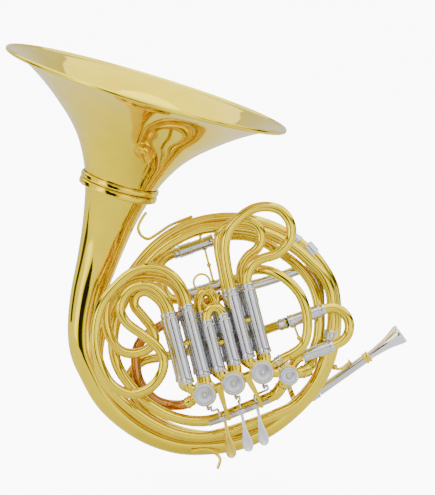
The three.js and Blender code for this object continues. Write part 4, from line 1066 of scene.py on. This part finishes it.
def backdrop():
    """A paper floor that curves up behind the horn."""
    floor_z = cad_low[2] - FLOOR_DROP
    line = [(FLOOR_FRONT, floor_z), (FLOOR_DEPTH, floor_z)]
    for t in np.linspace(0, math.pi / 2, 16):
        y, z = FLOOR_DEPTH + BACKDROP_CURVE * math.sin(t), floor_z + BACKDROP_CURVE * (1 - math.cos(t))
        line.append((y, z))
    line.append((FLOOR_DEPTH + BACKDROP_CURVE, floor_z + BACKDROP_RISE))
    mesh = bpy.data.meshes.new("backdrop")
    points = [(x, y, z) for y, z in line for x in (-FLOOR_HALF, FLOOR_HALF)]
    faces = [(2 * i, 2 * i + 1, 2 * i + 3, 2 * i + 2) for i in range(len(line) - 1)]
    mesh.from_pydata(points, [], faces)
    mesh.polygons.foreach_set("use_smooth", [True] * len(mesh.polygons))
    paper = bpy.data.materials.new("paper")
    paper.use_nodes = True
    shader = paper.node_tree.nodes["Principled BSDF"]
    shader.inputs["Base Color"].default_value = (0.7, 0.7, 0.7, 1)
    shader.inputs["Roughness"].default_value = 0.9
    shader.inputs["Emission Color"].default_value = (1, 1, 1, 1)
    glow(paper.node_tree, PAPER_GLOW, 0.0, shader.inputs["Emission Strength"])
    mesh.materials.append(paper)
    sheet = bpy.data.objects.new("backdrop", mesh)
    bpy.context.scene.collection.objects.link(sheet)


def lamp(name, place, target, size, power):
    light = bpy.data.lights.new(name, "AREA")
    light.shape = "RECTANGLE"
    light.size, light.size_y = size
    light.energy = power
    lit = bpy.data.objects.new(name, light)
    bpy.context.scene.collection.objects.link(lit)
    lit.location = place
    lit.rotation_euler = (Vector(target) - Vector(place)).to_track_quat("-Z", "Y").to_euler()


def ramp(tree, value, low_end, high_end, stops):
    """A level that follows a value between two ends, through (share, level) stops."""
    share = tree.nodes.new("ShaderNodeMapRange")
    share.inputs["From Min"].default_value = low_end
    share.inputs["From Max"].default_value = high_end
    tree.links.new(value, share.inputs["Value"])
    made = tree.nodes.new("ShaderNodeValToRGB")
    elements = made.color_ramp.elements
    for at, level in stops[1:-1]:
        elements.new(at).color = (level, level, level, 1)
    elements[0].color = (stops[0][1],) * 3 + (1,)
    elements[-1].color = (stops[-1][1],) * 3 + (1,)
    tree.links.new(share.outputs["Result"], made.inputs["Fac"])
    return made.outputs["Color"]


def surroundings():
    world = bpy.data.worlds.new("studio")
    bpy.context.scene.world = world
    world.use_nodes = True
    tree = world.node_tree
    nodes, links = tree.nodes, tree.links
    place = nodes.new("ShaderNodeTexCoord")
    split = nodes.new("ShaderNodeSeparateXYZ")
    links.new(place.outputs["Generated"], split.inputs["Vector"])
    turn = nodes.new("ShaderNodeMath")
    turn.operation = "ARCTAN2"
    links.new(split.outputs["X"], turn.inputs[0])
    links.new(split.outputs["Y"], turn.inputs[1])
    level = ramp(tree, turn.outputs["Value"], -math.pi, math.pi, LEVEL_STRIPS)
    below = ramp(tree, turn.outputs["Value"], -math.pi, math.pi, LOW_STRIPS)
    around = nodes.new("ShaderNodeMapRange")
    around.inputs["From Min"].default_value, around.inputs["From Max"].default_value = LOW_TO_LEVEL
    links.new(split.outputs["Z"], around.inputs["Value"])
    links.new(below, around.inputs["To Min"])
    links.new(level, around.inputs["To Max"])
    both = nodes.new("ShaderNodeMath")
    both.operation = "MULTIPLY"
    links.new(around.outputs["Result"], both.inputs[0])
    links.new(ramp(tree, split.outputs["Z"], -1, 1, UPWARD_SHARES), both.inputs[1])
    sky = nodes.new("ShaderNodeMapRange")
    sky.inputs["To Max"].default_value = TOP_LIGHT
    links.new(ramp(tree, split.outputs["Z"], -1, 1, TOP_SHARES), sky.inputs["Value"])
    links.new(both.outputs["Value"], sky.inputs["To Min"])
    nodes["Background"].inputs["Color"].default_value = (1, 1, 1, 1)
    glow(tree, WORLD_GLOW, sky.outputs["Result"], nodes["Background"].inputs["Strength"])


backdrop()
for name, place, target, size, power in LAMPS:
    lamp(name, place, target, size, power)
surroundings()

bpy.context.view_layer.update()
